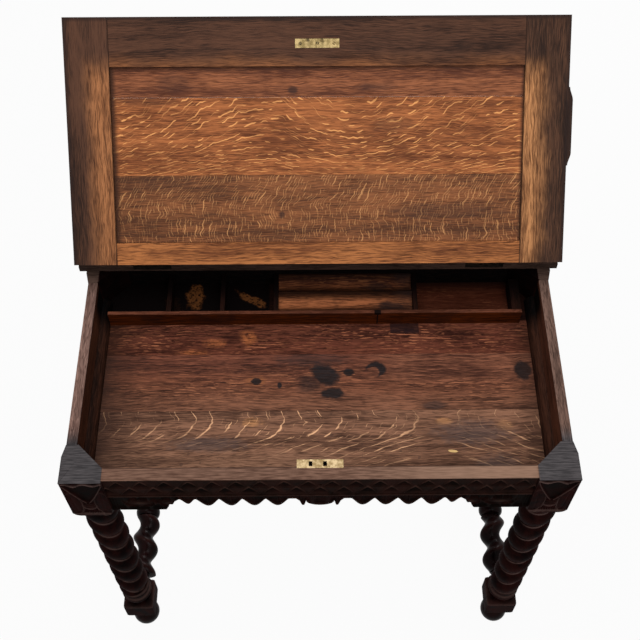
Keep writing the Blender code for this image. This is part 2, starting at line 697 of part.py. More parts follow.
def add_lid():
    """Frame-and-panel lid, drawn closed, with its edge strip."""
    half = LID_WIDTH / 2
    inner = half - STILE_WIDTH
    depth = (LID_FRONT_Y, LID_BACK_Y)
    thick = (LID_BASE, LID_TOP)
    left = board("lid_stile_left", (-half, -inner), depth, thick, LID, ("left", "front", "back"))
    right = board("lid_stile_right", (inner, half), depth, thick, LID, ("right", "front", "back"))
    span = (-inner + JOINT_GAP, inner - JOINT_GAP)
    lock_rail_y = (LID_FRONT_Y, LID_FRONT_Y + LOCK_RAIL_WIDTH)
    hinge_rail_y = (LID_BACK_Y - HINGE_RAIL_WIDTH, LID_BACK_Y)
    lock_rail = board("lid_lock_rail", span, lock_rail_y, thick, LID, ("front",))
    hinge_rail = board("lid_hinge_rail", span, hinge_rail_y, thick, LID, ("back",))
    for piece in (left, right, lock_rail, hinge_rail):
        finish(piece, OAK_FRAME)

    panel_z = (LID_BASE + PANEL_RECESS, LID_BASE + PANEL_RECESS + PANEL_THICKNESS)
    top_end = lock_rail_y[1] + JOINT_GAP + PANEL_TOP_WIDTH
    middle_end = top_end + JOINT_GAP + PANEL_MIDDLE_WIDTH
    panel_boards = {
        "lid_panel_top": (lock_rail_y[1] + JOINT_GAP, top_end),
        "lid_panel_middle": (top_end + JOINT_GAP, middle_end),
        "lid_panel_bottom": (middle_end + JOINT_GAP, hinge_rail_y[0] - JOINT_GAP),
    }
    for name, width in panel_boards.items():
        finish(board(name, span, width, panel_z, LID), OAK_PANEL)

    strip_back = LID_BACK_Y - EDGE_STRIP_START
    strip_x = half + JOINT_GAP
    strip_front = strip_back - EDGE_STRIP_LENGTH
    plan = [(strip_x, strip_back), (strip_x, strip_front)]
    steps = 6
    for end, inward in ((strip_front, 1), (strip_back, -1)):
        taper = []
        for step in range(steps + 1):
            share = step / steps
            rise = share * share * (3 - 2 * share)
            thickness = EDGE_STRIP_TIP + (EDGE_STRIP_THICKNESS - EDGE_STRIP_TIP) * rise
            taper.append((strip_x + thickness, end + inward * EDGE_STRIP_TAPER * share))
        plan += taper if inward > 0 else reversed(taper)
    strip_z = LID_BASE + JOINT_GAP + EDGE_STRIP_HEIGHT / 2
    strip = outline("lid_edge_strip", plan, EDGE_STRIP_HEIGHT, (0.0, 0.0, strip_z), LID)
    finish(strip, OAK_FRAME)

    plate_half = LOCK_PLATE_LENGTH / 2
    keeper_y = LOCK_Y + KEEPER_SHIFT
    plate_y = (keeper_y - LOCK_PLATE_WIDTH / 2, keeper_y + LOCK_PLATE_WIDTH / 2)
    plate_z = (LID_BASE, LID_BASE + LOCK_PLATE_THICKNESS)
    keeper = board("lock_keeper", (-plate_half, plate_half), plate_y, plate_z, LID)
    finish(keeper, BRASS, 0.35, 1.0)
    pocket = board(
        "keeper_pocket",
        (-plate_half - JOINT_GAP, plate_half + JOINT_GAP),
        (plate_y[0] - JOINT_GAP, plate_y[1] + JOINT_GAP),
        (LID_BASE - LOCK_PLATE_THICKNESS, plate_z[1] + JOINT_GAP),
        LID,
        cutter=True,
    )
    boolean(lock_rail, pocket)
    hook = [
        (-HOOK_WIDTH / 2, 0.0),
        (HOOK_WIDTH / 2, 0.0),
        (HOOK_WIDTH / 2, HOOK_GAUGE),
        (HOOK_GAUGE - HOOK_WIDTH / 2, HOOK_GAUGE),
        (HOOK_GAUGE - HOOK_WIDTH / 2, HOOK_DROP),
        (-HOOK_WIDTH / 2, HOOK_DROP),
    ]
    for side, x in zip(("left", "right"), LOCK_HOLES_X):
        stand = (math.pi / 2, 0.0, math.pi / 2)
        piece = outline("keeper_hook_" + side, hook, HOOK_LENGTH, (x, LOCK_Y, HOOK_BASE), LID, stand)
        finish(piece, BRASS, 0.35, 1.0)
    return hinge_rail


def add_fixed_board():
    """Top board fixed over the back of the case."""
    half = LID_WIDTH / 2
    depth = (BOARD_FRONT_Y, BOARD_BACK_Y)
    thick = (BOARD_BASE, BOARD_BASE + LID_THICKNESS)
    fixed = board("fixed_top_board", (-half, half), depth, thick, TABLE, ("left", "right", "front"))
    return finish(fixed, OAK_FRAME)


def add_hinge(side, sign, fixed_board, hinge_rail):
    """Butt hinge let into the board and the lid, its pin on the lid's axis."""
    start = sign * HINGE_X - HINGE_LENGTH / 2
    knuckle = HINGE_LENGTH * KNUCKLE_SHARE
    middle = (sign * HINGE_X - knuckle / 2, sign * HINGE_X + knuckle / 2)
    outer = (
        (start, middle[0] - JOINT_GAP),
        (middle[1] + JOINT_GAP, start + HINGE_LENGTH),
    )
    whole = (start, start + HINGE_LENGTH)
    leaf_top = LID_TOP - KNUCKLE_RADIUS - 2 * JOINT_GAP
    leaf_z = (leaf_top - LEAF_DEPTH, leaf_top)
    fixed_y = (BOARD_FRONT_Y, BOARD_FRONT_Y + LEAF_THICKNESS)
    lid_y = (LID_BACK_Y - LEAF_THICKNESS, LID_BACK_Y)
    leaves = (
        ("fixed", TABLE, fixed_y, (middle,), fixed_board),
        ("lid", LID, lid_y, outer, hinge_rail),
    )
    for kind, frame, leaf_y, knuckles, holder in leaves:
        name = "hinge_%s_%s_leaf" % (side, kind)
        leaf = board(name, whole, leaf_y, leaf_z, frame)
        for number, span in enumerate(knuckles):
            tag = "%s_%d" % (name, number)
            neck_z = (leaf_top - KNUCKLE_RADIUS / 2, LID_TOP - PIN_RADIUS - 2 * JOINT_GAP)
            neck = board(tag + "_neck", span, leaf_y, neck_z, frame, cutter=True)
            barrel = rod(tag + "_barrel", span, HINGE_Y, LID_TOP, KNUCKLE_RADIUS, frame, True)
            boolean(leaf, neck, "UNION")
            boolean(leaf, barrel, "UNION")
        past_ends = (start - knuckle, start + HINGE_LENGTH + knuckle)
        bore_radius = PIN_RADIUS + PIN_CLEARANCE
        bore = rod(name + "_bore", past_ends, HINGE_Y, LID_TOP, bore_radius, frame, True)
        boolean(leaf, bore)
        pocket = board(
            name + "_pocket",
            (whole[0] - JOINT_GAP, whole[1] + JOINT_GAP),
            (leaf_y[0] - JOINT_GAP, leaf_y[1] + JOINT_GAP),
            (leaf_z[0] - JOINT_GAP, LID_TOP + KNUCKLE_RADIUS),
            frame,
            cutter=True,
        )
        boolean(holder, pocket)
        finish(leaf, IRON, 0.5, 1.0)
    pin = rod("hinge_%s_pin" % side, whole, HINGE_Y, LID_TOP, PIN_RADIUS, TABLE)
    finish(pin, IRON, 0.5, 1.0)


def add_lock():
    """Box lock behind the front rail: plate, case and sliding bolt."""
    half = LOCK_PLATE_LENGTH / 2
    plate_y = (LOCK_Y - LOCK_PLATE_WIDTH / 2, LOCK_Y + LOCK_PLATE_WIDTH / 2)
    plate = board("lock_plate", (-half, half), plate_y, (LOCK_PLATE_BASE, LOCK_PLATE_TOP), TABLE)
    for number, x in enumerate(LOCK_HOLES_X):
        hole = board(
            "lock_hole_%d" % number,
            (x - LOCK_HOLE_LENGTH / 2, x + LOCK_HOLE_LENGTH / 2),
            (LOCK_Y - LOCK_HOLE_WIDTH / 2, LOCK_Y + LOCK_HOLE_WIDTH / 2),
            (LOCK_PLATE_BASE - LOCK_PLATE_THICKNESS, LOCK_PLATE_TOP + LOCK_PLATE_THICKNESS),
            TABLE,
            cutter=True,
        )
        boolean(plate, hole)
    finish(plate, BRASS, 0.35, 1.0)

    prong_base = HOOK_BASE + HOOK_GAUGE + JOINT_GAP
    bar_top = HOOK_BASE - BOLT_CLEARANCE
    bar_base = bar_top - BOLT_BAR
    case_half = LOCK_CASE_LENGTH / 2
    case_y = (RAIL_THICKNESS + JOINT_GAP, plate_y[1])
    case_top = LOCK_PLATE_BASE - JOINT_GAP
    case_z = (case_top - LOCK_CASE_HEIGHT, case_top)
    lock_case = board("lock_case", (-case_half, case_half), case_y, case_z, TABLE)
    hollow = board(
        "lock_case_hollow",
        (-case_half + LOCK_CASE_WALL, case_half - LOCK_CASE_WALL),
        (case_y[0] + LOCK_CASE_WALL, case_y[1] - LOCK_CASE_WALL),
        (bar_base - JOINT_GAP, case_top + LOCK_PLATE_THICKNESS),
        TABLE,
        cutter=True,
    )
    boolean(lock_case, hollow)
    finish(lock_case, IRON, 0.5, 1.0)

    prong_top = prong_base + BOLT_PRONG
    tips = [x - HOOK_LENGTH / 2 - BOLT_CLEARANCE for x in LOCK_HOLES_X]
    faces = [tip - BOLT_TRAVEL for tip in tips]
    comb = [(faces[0] - BOLT_BAR, bar_base), (faces[1], bar_base)]
    for tip, face in reversed(list(zip(tips, faces))):
        comb += [
            (face, prong_base),
            (tip, prong_base),
            (tip, prong_top),
            (face - BOLT_BAR, prong_top),
        ]
        if face is not faces[0]:
            comb += [(face - BOLT_BAR, bar_top), (faces[0], bar_top)]
    prong_y = LOCK_Y - HOOK_WIDTH / 2 + HOOK_GAUGE + JOINT_GAP + BOLT_GAUGE / 2
    bolt = outline("lock_bolt", comb, BOLT_GAUGE, (0.0, prong_y, 0.0), TABLE, (math.pi / 2, 0.0, 0.0))
    finish(bolt, BRASS, 0.4, 1.0)


clear_scene()
PARTS = add_collection("writing_table")
CUTTERS = add_collection("cutters")
TABLE_ORIGIN = add_empty("table_origin", (-MIDDLE_X, -MIDDLE_Y, 0.0))
LID_HINGE = add_empty("lid_hinge", (0.0, HINGE_Y, LID_TOP), TABLE_ORIGIN)
LID_HINGE.rotation_euler = (-LID_OPEN_ANGLE, 0.0, 0.0)
TABLE = (TABLE_ORIGIN, (0.0, 0.0, 0.0))
LID = (LID_HINGE, (0.0, HINGE_Y, LID_TOP))

for end, leg_y in (("front", LEG_FRONT_Y), ("rear", LEG_REAR_Y)):
    for side, sign in (("left", -1), ("right", 1)):
        corner = "%s_%s" % (end, side)
        post_cut = add_post_cut("post_cut_" + corner, sign * LEG_X, leg_y)
        add_leg("leg_" + corner, sign * LEG_X, leg_y, sign, post_cut)
        add_foot("foot_" + corner, sign * LEG_X, leg_y)
add_stretcher("stretcher_left", -LEG_X, -1)
add_stretcher("stretcher_right", LEG_X, 1)
add_front_rail()
add_case()
add_tray()
add_lock()
lid_hinge_rail = add_lid()
top_board = add_fixed_board()
add_hinge("left", -1, top_board, lid_hinge_rail)
add_hinge("right", 1, top_board, lid_hinge_rail)
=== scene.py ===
import math

import bpy
import numpy as np
from mathutils import Euler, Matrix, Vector


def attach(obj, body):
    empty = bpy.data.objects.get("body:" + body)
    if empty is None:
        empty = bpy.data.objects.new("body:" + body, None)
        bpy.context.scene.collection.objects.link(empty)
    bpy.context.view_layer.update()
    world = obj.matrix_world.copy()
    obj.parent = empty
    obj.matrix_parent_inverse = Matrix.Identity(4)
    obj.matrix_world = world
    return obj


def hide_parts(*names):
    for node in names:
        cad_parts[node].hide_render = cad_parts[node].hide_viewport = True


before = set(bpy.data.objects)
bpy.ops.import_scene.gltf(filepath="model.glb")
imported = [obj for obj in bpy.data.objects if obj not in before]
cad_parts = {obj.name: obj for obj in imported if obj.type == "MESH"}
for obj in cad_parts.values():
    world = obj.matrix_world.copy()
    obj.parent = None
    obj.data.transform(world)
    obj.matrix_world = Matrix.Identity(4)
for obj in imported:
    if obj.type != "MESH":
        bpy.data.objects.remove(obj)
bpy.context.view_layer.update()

# The table's own axes: X from its middle, Y from the rail's face, Z from the floor
TABLE_X = -0.00365
TABLE_Y = -0.351617
CASE_TOP = 0.788
AXIS_X = (1.0, 0.0, 0.0)
AXIS_Y = (0.0, 1.0, 0.0)
AXIS_Z = (0.0, 0.0, 1.0)

# Lid at rest
HINGE = Vector((TABLE_X, TABLE_Y + 0.409, 0.8126))
LID_ANGLE = math.radians(136)
LID_UP = (0.0, -math.cos(LID_ANGLE), math.sin(LID_ANGLE))
LID_FACE = (0.0, -math.sin(LID_ANGLE), -math.cos(LID_ANGLE))
LID_START = HINGE.dot(Vector(LID_UP))
LID_BACK = HINGE.dot(Vector(LID_FACE))
KEEPER_FACE = LID_BACK + 0.024
STILE_INNER = 0.354

# Well and tray
WELL_HALF = 0.3965
WELL_BACK = 0.4325
TRAY_FRONT = 0.345
TRAY_SOFT = 0.002
PEN_START = 0.347
PEN_GROOVE = 0.042

# Posts, legs and feet
LEG_X = 0.384
LEG_FRONT_Y = 0.030
LEG_REAR_Y = 0.418
POST_HALF = 0.034
POST_BASE = 0.654
LEG_RADIUS = 0.031
LEG_GROOVE = 0.0092
LEG_TURNS = 7.25
TWIST_BASE = 0.2143
LOWER_BLOCK_TOP = 0.143
LOWER_BLOCK_HALF = 0.031
FOOT_HEIGHT = 0.088
FOOT_BALL = 0.028
FOOT_SOLE = 0.012
FOOT_NECK = 0.017
JOINT_GAP = 0.0003

# Carved block at a post's top
BLOCK_CARVED = 0.1322
BLOCK_SHOULDER = 0.1331
BLOCK_HEIGHT = 0.1337
BLOCK_ARRIS = 0.0012
BLOCK_LIFT = 0.0002
BLOCK_ROUNDING = 0.016
BLOCK_REACH = 0.037
BLOCK_SWELL = 0.0112
FRONT_CUT = 0.026
REAR_CUT = 0.021
REAR_COVER = 0.395
FLOWER_COLUMNS = 84
FLOWER_ROWS = 150

# Stretchers
STRETCHER_Z = 0.1155
STRETCHER_STRAND = 0.0215
STRETCHER_OFFSET = 0.0065
STRETCHER_TURNS = 2.25
STRETCHER_NECK = 0.0125
STRETCHER_TWIST = 0.019

# Front rail and its apron
RAIL_HALF = 0.3497
RAIL_THICKNESS = 0.022
RAIL_ARRIS = 0.0007
CARVING_DEPTH = 0.005
SCALE_PITCH = 0.0386
BAND_DROP = 0.066
EDGE_DROP = 0.069
APRON_NOTCH = 0.077
APRON_SHOULDER = 0.086
APRON_TIP = 0.104
LUNETTE_HALF = 0.0235
LOBES_START = 0.0517
LOBES = 4
SMALL_LOBE = 0.028
SMALL_LOBE_DROP = 0.019
EAR_RUN = 0.025
EAR_DROP = 0.042
EAR_CARVED = 0.2345


def dye(red, green, blue):
    """A colour named by its screen values."""
    linear = []
    for value in (red, green, blue):
        share = value / 255
        linear.append(share / 12.92 if share < 0.04045 else ((share + 0.055) / 1.055) ** 2.4)
    return (*linear, 1.0)


# Painted grey sheen on dark tops
PAINTED_SHEEN_TOP = (dye(44, 42, 43), dye(74, 70, 71))
BROWN_TOP = (dye(70, 49, 40), dye(114, 86, 72))
# Painted shade on tops towards the back, under the lid
SHADED_REAR_TOP = (dye(50, 38, 33), dye(82, 64, 56))
WHITE = (1.0, 1.0, 1.0, 1.0)


class Tone:
    """A shader socket; arithmetic on it adds Math nodes."""

    def __init__(self, finish, socket):
        self.finish = finish
        self.socket = socket

    def __add__(self, other):
        return self.finish.math("ADD", self, other)

    def __sub__(self, other):
        return self.finish.math("SUBTRACT", self, other)

    def __rsub__(self, other):
        return self.finish.math("SUBTRACT", other, self)

    def __mul__(self, other):
        return self.finish.math("MULTIPLY", self, other)

    def __truediv__(self, other):
        return self.finish.math("DIVIDE", self, other)

    __radd__ = __add__
    __rmul__ = __mul__


class Finish:
    """A material, or the world's, and the few ways its nodes are added."""

    def __init__(self, name, owner=None):
        self.material = owner or bpy.data.materials.new(name)
        self.material.use_nodes = True
        self.tree = self.material.node_tree
        self.shader = self.tree.nodes.get("Principled BSDF")

    def node(self, kind, settings=None, sockets=None, out=0):
        """Any node: its settings first, then the values or links of its sockets."""
        made = self.tree.nodes.new(kind)
        for key, value in (settings or {}).items():
            setattr(made, key, value)
        for key, value in (sockets or {}).items():
            self.feed(made.inputs[key], value)
        return Tone(self, made.outputs[out])

    def feed(self, socket, value):
        if isinstance(value, Tone):
            self.tree.links.new(value.socket, socket)
        else:
            socket.default_value = value

    def set(self, **sockets):
        """Values or links of the shader's own sockets."""
        for key, value in sockets.items():
            self.feed(self.shader.inputs[key.replace("_", " ")], value)

    def math(self, operation, *values):
        return self.node("ShaderNodeMath", {"operation": operation}, dict(enumerate(values)))

    def most(self, first, *others):
        """The greatest of several values."""
        for other in others:
            first = self.math("MAXIMUM", first, other)
        return first

    def mix(self, factor, first, second):
        """A colour between two others."""
        return self.node("ShaderNodeMix", {"data_type": "RGBA"}, {0: factor, 6: first, 7: second}, 2)

    def place(self):
        return self.node("ShaderNodeTexCoord", out=3)

    def along(self, place, axis, start=None):
        """Distance along an axis."""
        reach = self.node("ShaderNodeVectorMath", {"operation": "DOT_PRODUCT"}, {0: place, 1: axis}, 1)
        return reach if start is None else reach - start

    def point(self, x, y, z):
        return self.node("ShaderNodeCombineXYZ", None, {0: x, 1: y, 2: z})

    def noise(self, place, scale=1.0, detail=2.0, rough=0.5):
        sockets = {"Vector": place, "Scale": scale, "Detail": detail, "Roughness": rough}
        return self.node("ShaderNodeTexNoise", None, sockets)

    def ease(self, value, low, high, start=0.0, end=1.0):
        """A smooth step from one value to another."""
        settings = {"interpolation_type": "SMOOTHSTEP"}
        return self.node("ShaderNodeMapRange", settings, {0: value, 1: low, 2: high, 3: start, 4: end})

    def between(self, value, low, high, soft):
        """1 between two limits, 0 past them."""
        return self.ease(value, low - soft, low + soft) * self.ease(value, high + soft, high - soft)

    def slab(self, u, v, across, up, soft=0.001):
        """A soft-edged rectangle: 1 inside, 0 outside."""
        return self.between(u, *across, soft) * self.between(v, *up, soft)

    def spot(self, u, v, centre, size, wander, soft):
        """A soft-edged patch: 1 inside, 0 outside."""
        across = (u - centre[0]) / size[0]
        up = (v - centre[1]) / size[1]
        reach = self.math("SQRT", across * across + up * up) + wander
        return self.ease(reach, 1.0 + soft, 1.0 - soft)

    def spots(self, u, v, wander, rows):
        """Patches together, from rows of centre, size, raggedness, softness and strength."""
        patches = []
        for centre, size, ragged, soft, strength in rows:
            patches.append(self.spot(u, v, centre, size, wander * ragged, soft) * strength)
        return self.most(*patches)

    def bump(self, height, strength, distance):
        sockets = {"Strength": strength, "Distance": distance, "Height": height}
        return self.node("ShaderNodeBump", None, sockets)

    def in_view(self):
        """1 where it is seen straight, in a gloss or through glass."""
        sight = self.tree.nodes.new("ShaderNodeLightPath")
        rays = ("Is Camera Ray", "Is Glossy Ray", "Is Transmission Ray")
        return self.most(*[Tone(self, sight.outputs[ray]) for ray in rays])

    def rub_and_light(self):
        """How far a carved surface is rubbed, with painted highlights on ridges and painted shade below
        nought, from the mesh.
        """
        return self.node("ShaderNodeAttribute", {"attribute_name": "rub_and_light"}, out=2)


class Oak(Finish):
    """Oak: grain along one axis, with growth bands, fine streaks and pores across it."""

    def __init__(self, name, grain, across, face, shift):
        super().__init__(name)
        self.colour = None
        self.where = self.place()
        self.u = self.along(self.where, grain) + shift
        self.v = self.along(self.where, across)
        self.w = self.along(self.where, face)
        slow = self.noise(self.point(self.u * 3, self.v * 8, self.w * 8))
        ripple = self.noise(self.point(self.u * 24, self.v * 48, self.w * 48))
        self.line = self.v + (slow - 0.5) * 0.024 + (ripple - 0.5) * 0.008
        self.bands = self.noise(self.point(self.u * 1.6, self.line * 55, self.w * 55), 1.0, 4.0, 0.6)
        self.streaks = self.noise(self.point(self.u * 32, self.line * 640, self.w * 640), 1.0, 3.0, 0.6)
        pores = self.noise(self.point(self.u * 46, self.line * 720, self.w * 720), 1.0, 1.0)
        self.pores = self.ease(pores, 0.53, 0.66)
        self.cloud = self.noise(self.point(self.u * 9, self.v * 20, self.w * 20), 1.0, 3.0, 0.55)

    def on_table(self):
        """Places across from the table's middle and back from its front."""
        return self.along(self.where, AXIS_X, TABLE_X), self.along(self.where, AXIS_Y, TABLE_Y)

    def on_lid(self):
        """Places across from the lid's middle and up it from the hinges."""
        return self.along(self.where, AXIS_X, TABLE_X), self.along(self.where, LID_UP, LID_START)

    def height(self):
        return self.along(self.where, AXIS_Z)

    def body(self, deep, light):
        """Plain wood between two tones."""
        share = self.ease(self.bands * 0.36 + self.streaks * 0.44 + self.cloud * 0.20, 0.41, 0.59)
        return self.mix(share, deep, light)

    def rays(self, line, run, spacing, length, fat, seed, low, high):
        """Ray flecks: thin strokes along rows of one value, each row broken into lengths."""
        steps = line / spacing
        row = self.math("FLOOR", steps)
        ridge = 1.0 - self.math("ABSOLUTE", self.math("FRACT", steps) - 0.5) * 2
        dash = self.noise(self.point(run / length, row * 3.7 + seed, row * 1.3), 1.0, 1.0)
        cover = self.ease(dash, low, high)
        return self.ease(ridge + cover * fat, 1.0, 1.0 + fat * 0.55)

    def sway(self, across, up, seed):
        """A slow wander, either way from nought."""
        return self.noise(self.point(across, up, seed)) - 0.5

    def stain(self, share, tone):
        """Lay a tone over the wood's colour so far."""
        self.colour = self.mix(share, self.colour, tone)

    def wax(self, gloss, sheen=0.08):
        """Finish the wood: colour, gloss and open grain."""
        rough = gloss + self.streaks * 0.16 + self.pores * 0.1
        normal = self.bump(self.streaks * 0.5 - self.pores * 0.8, 0.4, 0.0005)
        self.set(Base_Color=self.colour, Roughness=rough, Normal=normal, Specular_IOR_Level=sheen)
        return self.material


def plain_figure(oak, x, up):
    """Slash-cut board: hardly a fleck."""
    line = up + oak.sway(x * 9, up * 18, 4.4) * 0.02
    return oak.rays(line, x, 0.009, 0.03, 0.14, 2.0, 0.56, 0.70)


def thready_figure(oak, x, y):
    """Floor board: fine pale threads along the grain, in drifts."""
    line = y + oak.sway(x * 7, y * 16, 2.4) * 0.022 + oak.sway(x * 40, y * 30, 1.1) * 0.005
    thread = oak.rays(line, x, 0.0056, 0.020, 0.44, 3.0, 0.46, 0.64)
    fine = oak.rays(line + 0.001, x, 0.0031, 0.010, 0.5, 7.0, 0.46, 0.64)
    drift = oak.ease(oak.sway(x * 6, y * 24, 8.8), -0.16, 0.16, 0.25, 1.0)
    return oak.most(thread, fine * 0.6) * drift


def bold_figure(oak, x, up):
    """Quartered board: long bright strokes that climb, dip and climb again towards the lid's front."""
    climb = oak.ease(x, -0.38, -0.09, 0.0, 0.15) - oak.ease(x, -0.09, 0.05, 0.0, 0.065)
    climb = climb + oak.ease(x, 0.05, 0.38, 0.0, 0.17)
    lean = (up - 0.156) * 5.7 + 0.25
    level = oak.math("LOGARITHM", oak.math("MAXIMUM", lean, 0.05), math.e) * 0.176
    line = level - climb + oak.sway(x * 12, up * 20, 0.3) * 0.028 + oak.sway(x * 46, up * 17, 2.1) * 0.026
    broad = oak.rays(line, x, 0.0150, 0.022, 0.26, 1.0, 0.48, 0.60)
    fine = oak.rays(line + 0.004, x, 0.0070, 0.030, 0.26, 6.0, 0.48, 0.64)
    return oak.most(broad, fine * 0.55)


def close_figure(oak, x, up):
    """Board near the hinges: short upright strokes, close together."""
    tilt = (up - 0.09) * oak.ease(up, 0.07, 0.15, 0.0, 0.45)
    line = x - tilt + oak.sway(x * 16, up * 30, 3.3) * 0.020 + oak.sway(x * 24, up * 62, 1.2) * 0.013
    broad = oak.rays(line, up, 0.0115, 0.026, 0.17, 5.0, 0.50, 0.63)
    fine = oak.rays(line + 0.002, up, 0.0046, 0.016, 0.32, 8.0, 0.43, 0.60)
    return oak.most(broad, fine * 0.65)


def arched_figure(oak, x, y):
    """Front board of the floor: nested arcs that curl away to either side of one line."""
    depth = 0.1625 - y
    bend = oak.math("MINIMUM", oak.math("MAXIMUM", depth - 0.014, 0.0), 0.041)
    curl = bend * bend * bend * 520.0 + oak.math("MAXIMUM", depth - 0.055, 0.0) * 2.62
    start = oak.math("MAXIMUM", 0.018 - depth, 0.0)
    curl = curl + start * start * 16.0
    aside = x - 0.203 + oak.sway(y * 40, 3.0, 1.0) * 0.03
    reach = oak.math("SQRT", aside * aside + 0.0009)
    line = reach - curl + oak.sway(x * 9, y * 20, 5.1) * 0.028 + oak.sway(x * 50, y * 40, 6.3) * 0.012
    run = depth + reach * 0.5
    fat = oak.ease(depth, 0.012, 0.055, 0.075, 0.20)
    broad = oak.rays(line, run, 0.0310, 0.034, fat, 9.0, 0.42, 0.56)
    fine = oak.rays(line + 0.005, run, 0.0120, 0.020, fat, 12.0, 0.47, 0.64)
    drift = oak.ease(oak.sway(x * 14, y * 30, 6.6), -0.20, 0.05, 0.4, 1.0)
    faded = oak.ease(x, 0.11, 0.20, 1.0, 0.6) * oak.ease(reach, 0.035, 0.060)
    faded = faded * oak.ease(depth - x * 0.12, 0.055, 0.105, 1.0, 0.12)
    return oak.most(broad, fine * 0.55) * drift * faded


def panel_oak(name, tones, figure, strength, shift, smudges):
    """A board of the lid's panel."""
    deep, light, fleck = tones
    oak = Oak(name, AXIS_X, LID_UP, LID_FACE, shift)
    x, up = oak.on_lid()
    oak.colour = oak.body(deep, light)
    oak.stain(oak.pores * 0.5, dye(60, 28, 14))
    mask = figure(oak, x, up) * oak.ease(oak.cloud, 0.30, 0.50, 0.35, 1.0)
    oak.stain(mask * strength, fleck)
    wander = oak.sway(x * 30, up * 60, 7.0) * 0.9
    for centre, size, depth in smudges:
        oak.stain(oak.spot(x, up, centre, size, wander, 0.45) * depth, dye(46, 30, 26))
    # Painted shadow along the panel's edges where the frame stands over it, strongest at the sides
    ends = oak.most(oak.ease(x, -0.342, -0.352) * 0.9, oak.ease(x, 0.347, STILE_INNER) * 0.85)
    rim = oak.most(ends, oak.ease(up, 0.326, 0.340) * 0.5, oak.ease(up, 0.043, 0.037) * 0.3)
    oak.stain(rim, dye(48, 27, 17))
    outer = oak.ease(oak.w, LID_BACK + 0.010, LID_BACK + 0.003)
    oak.stain(outer, oak.body(dye(52, 29, 18), dye(84, 50, 31)))
    return oak.wax(0.48)


def frame_oak(name, grain, across, tones, shift):
    """The lid's stiles and rails, dark towards their outer edges."""
    deep, light, outer_deep = tones
    oak = Oak(name, grain, across, LID_FACE, shift)
    x, up = oak.on_lid()
    side = oak.math("ABSOLUTE", x)
    oak.colour = oak.body(deep, light)
    oak.stain(oak.pores * 0.55, dye(40, 20, 12))
    # Darker towards the outer edges, in a ragged band
    wander = (oak.noise(oak.where, 16.0, 3.0) - 0.5) * 0.035
    outer_darkening = oak.most(oak.ease(side + wander, 0.366, 0.404), oak.ease(up + wander, 0.300, 0.366))
    oak.stain(outer_darkening * 0.94, oak.body(outer_deep, dye(67, 44, 34)))
    joint = oak.ease(oak.math("ABSOLUTE", side - STILE_INNER), 0.0016, 0.0004)
    oak.stain(joint * 0.7, dye(30, 17, 11))
    arris = oak.most(oak.ease(side, 0.420, 0.429), oak.ease(up, 0.412, 0.420))
    oak.stain(arris * 0.75, dye(30, 20, 18))
    outer = oak.ease(oak.w, LID_BACK + 0.016, LID_BACK + 0.006)
    oak.stain(outer, oak.body(dye(40, 23, 16), dye(70, 43, 29)))
    return oak.wax(0.5, 0.07)


def case_oak(name, grain, across, face, inner, top, shift=0.0):
    """Case boards: dark inside, black by the ink and by painted shade under the fixed board, worn along
    their top edges, with a painted grey sheen on the tops by the front posts and painted shade on the tops
    towards the back.
    """
    oak = Oak(name, grain, across, face, shift)
    x, y = oak.on_table()
    height = oak.height()
    # Ink and painted shade: black in the tray's part of the well, below the fixed board's top
    ink_and_shade = oak.slab(x, y, (-WELL_HALF, WELL_HALF), (0.200, WELL_BACK)) * oak.ease(y, 0.308, 0.352)
    ink_and_shade = ink_and_shade * oak.ease(height, 0.785, 0.770)
    oak.colour = oak.body(*inner)
    oak.stain(ink_and_shade, dye(4, 3, 3))
    crown = oak.ease(height + (oak.streaks - 0.5) * 0.001, CASE_TOP - 0.0022, CASE_TOP - 0.0006)
    # Painted grey sheen on the tops by the front posts
    edge = oak.mix(oak.ease(y, 0.100, 0.062), oak.body(*top), oak.body(*PAINTED_SHEEN_TOP))
    # Painted shade on the tops towards the back, under the lid
    edge = oak.mix(oak.ease(y, 0.320, 0.400) * 0.6, edge, oak.body(*SHADED_REAR_TOP))
    oak.stain(crown, edge)
    oak.stain(oak.pores * 0.5, dye(22, 12, 9))
    return oak.wax(0.55, 0.02)


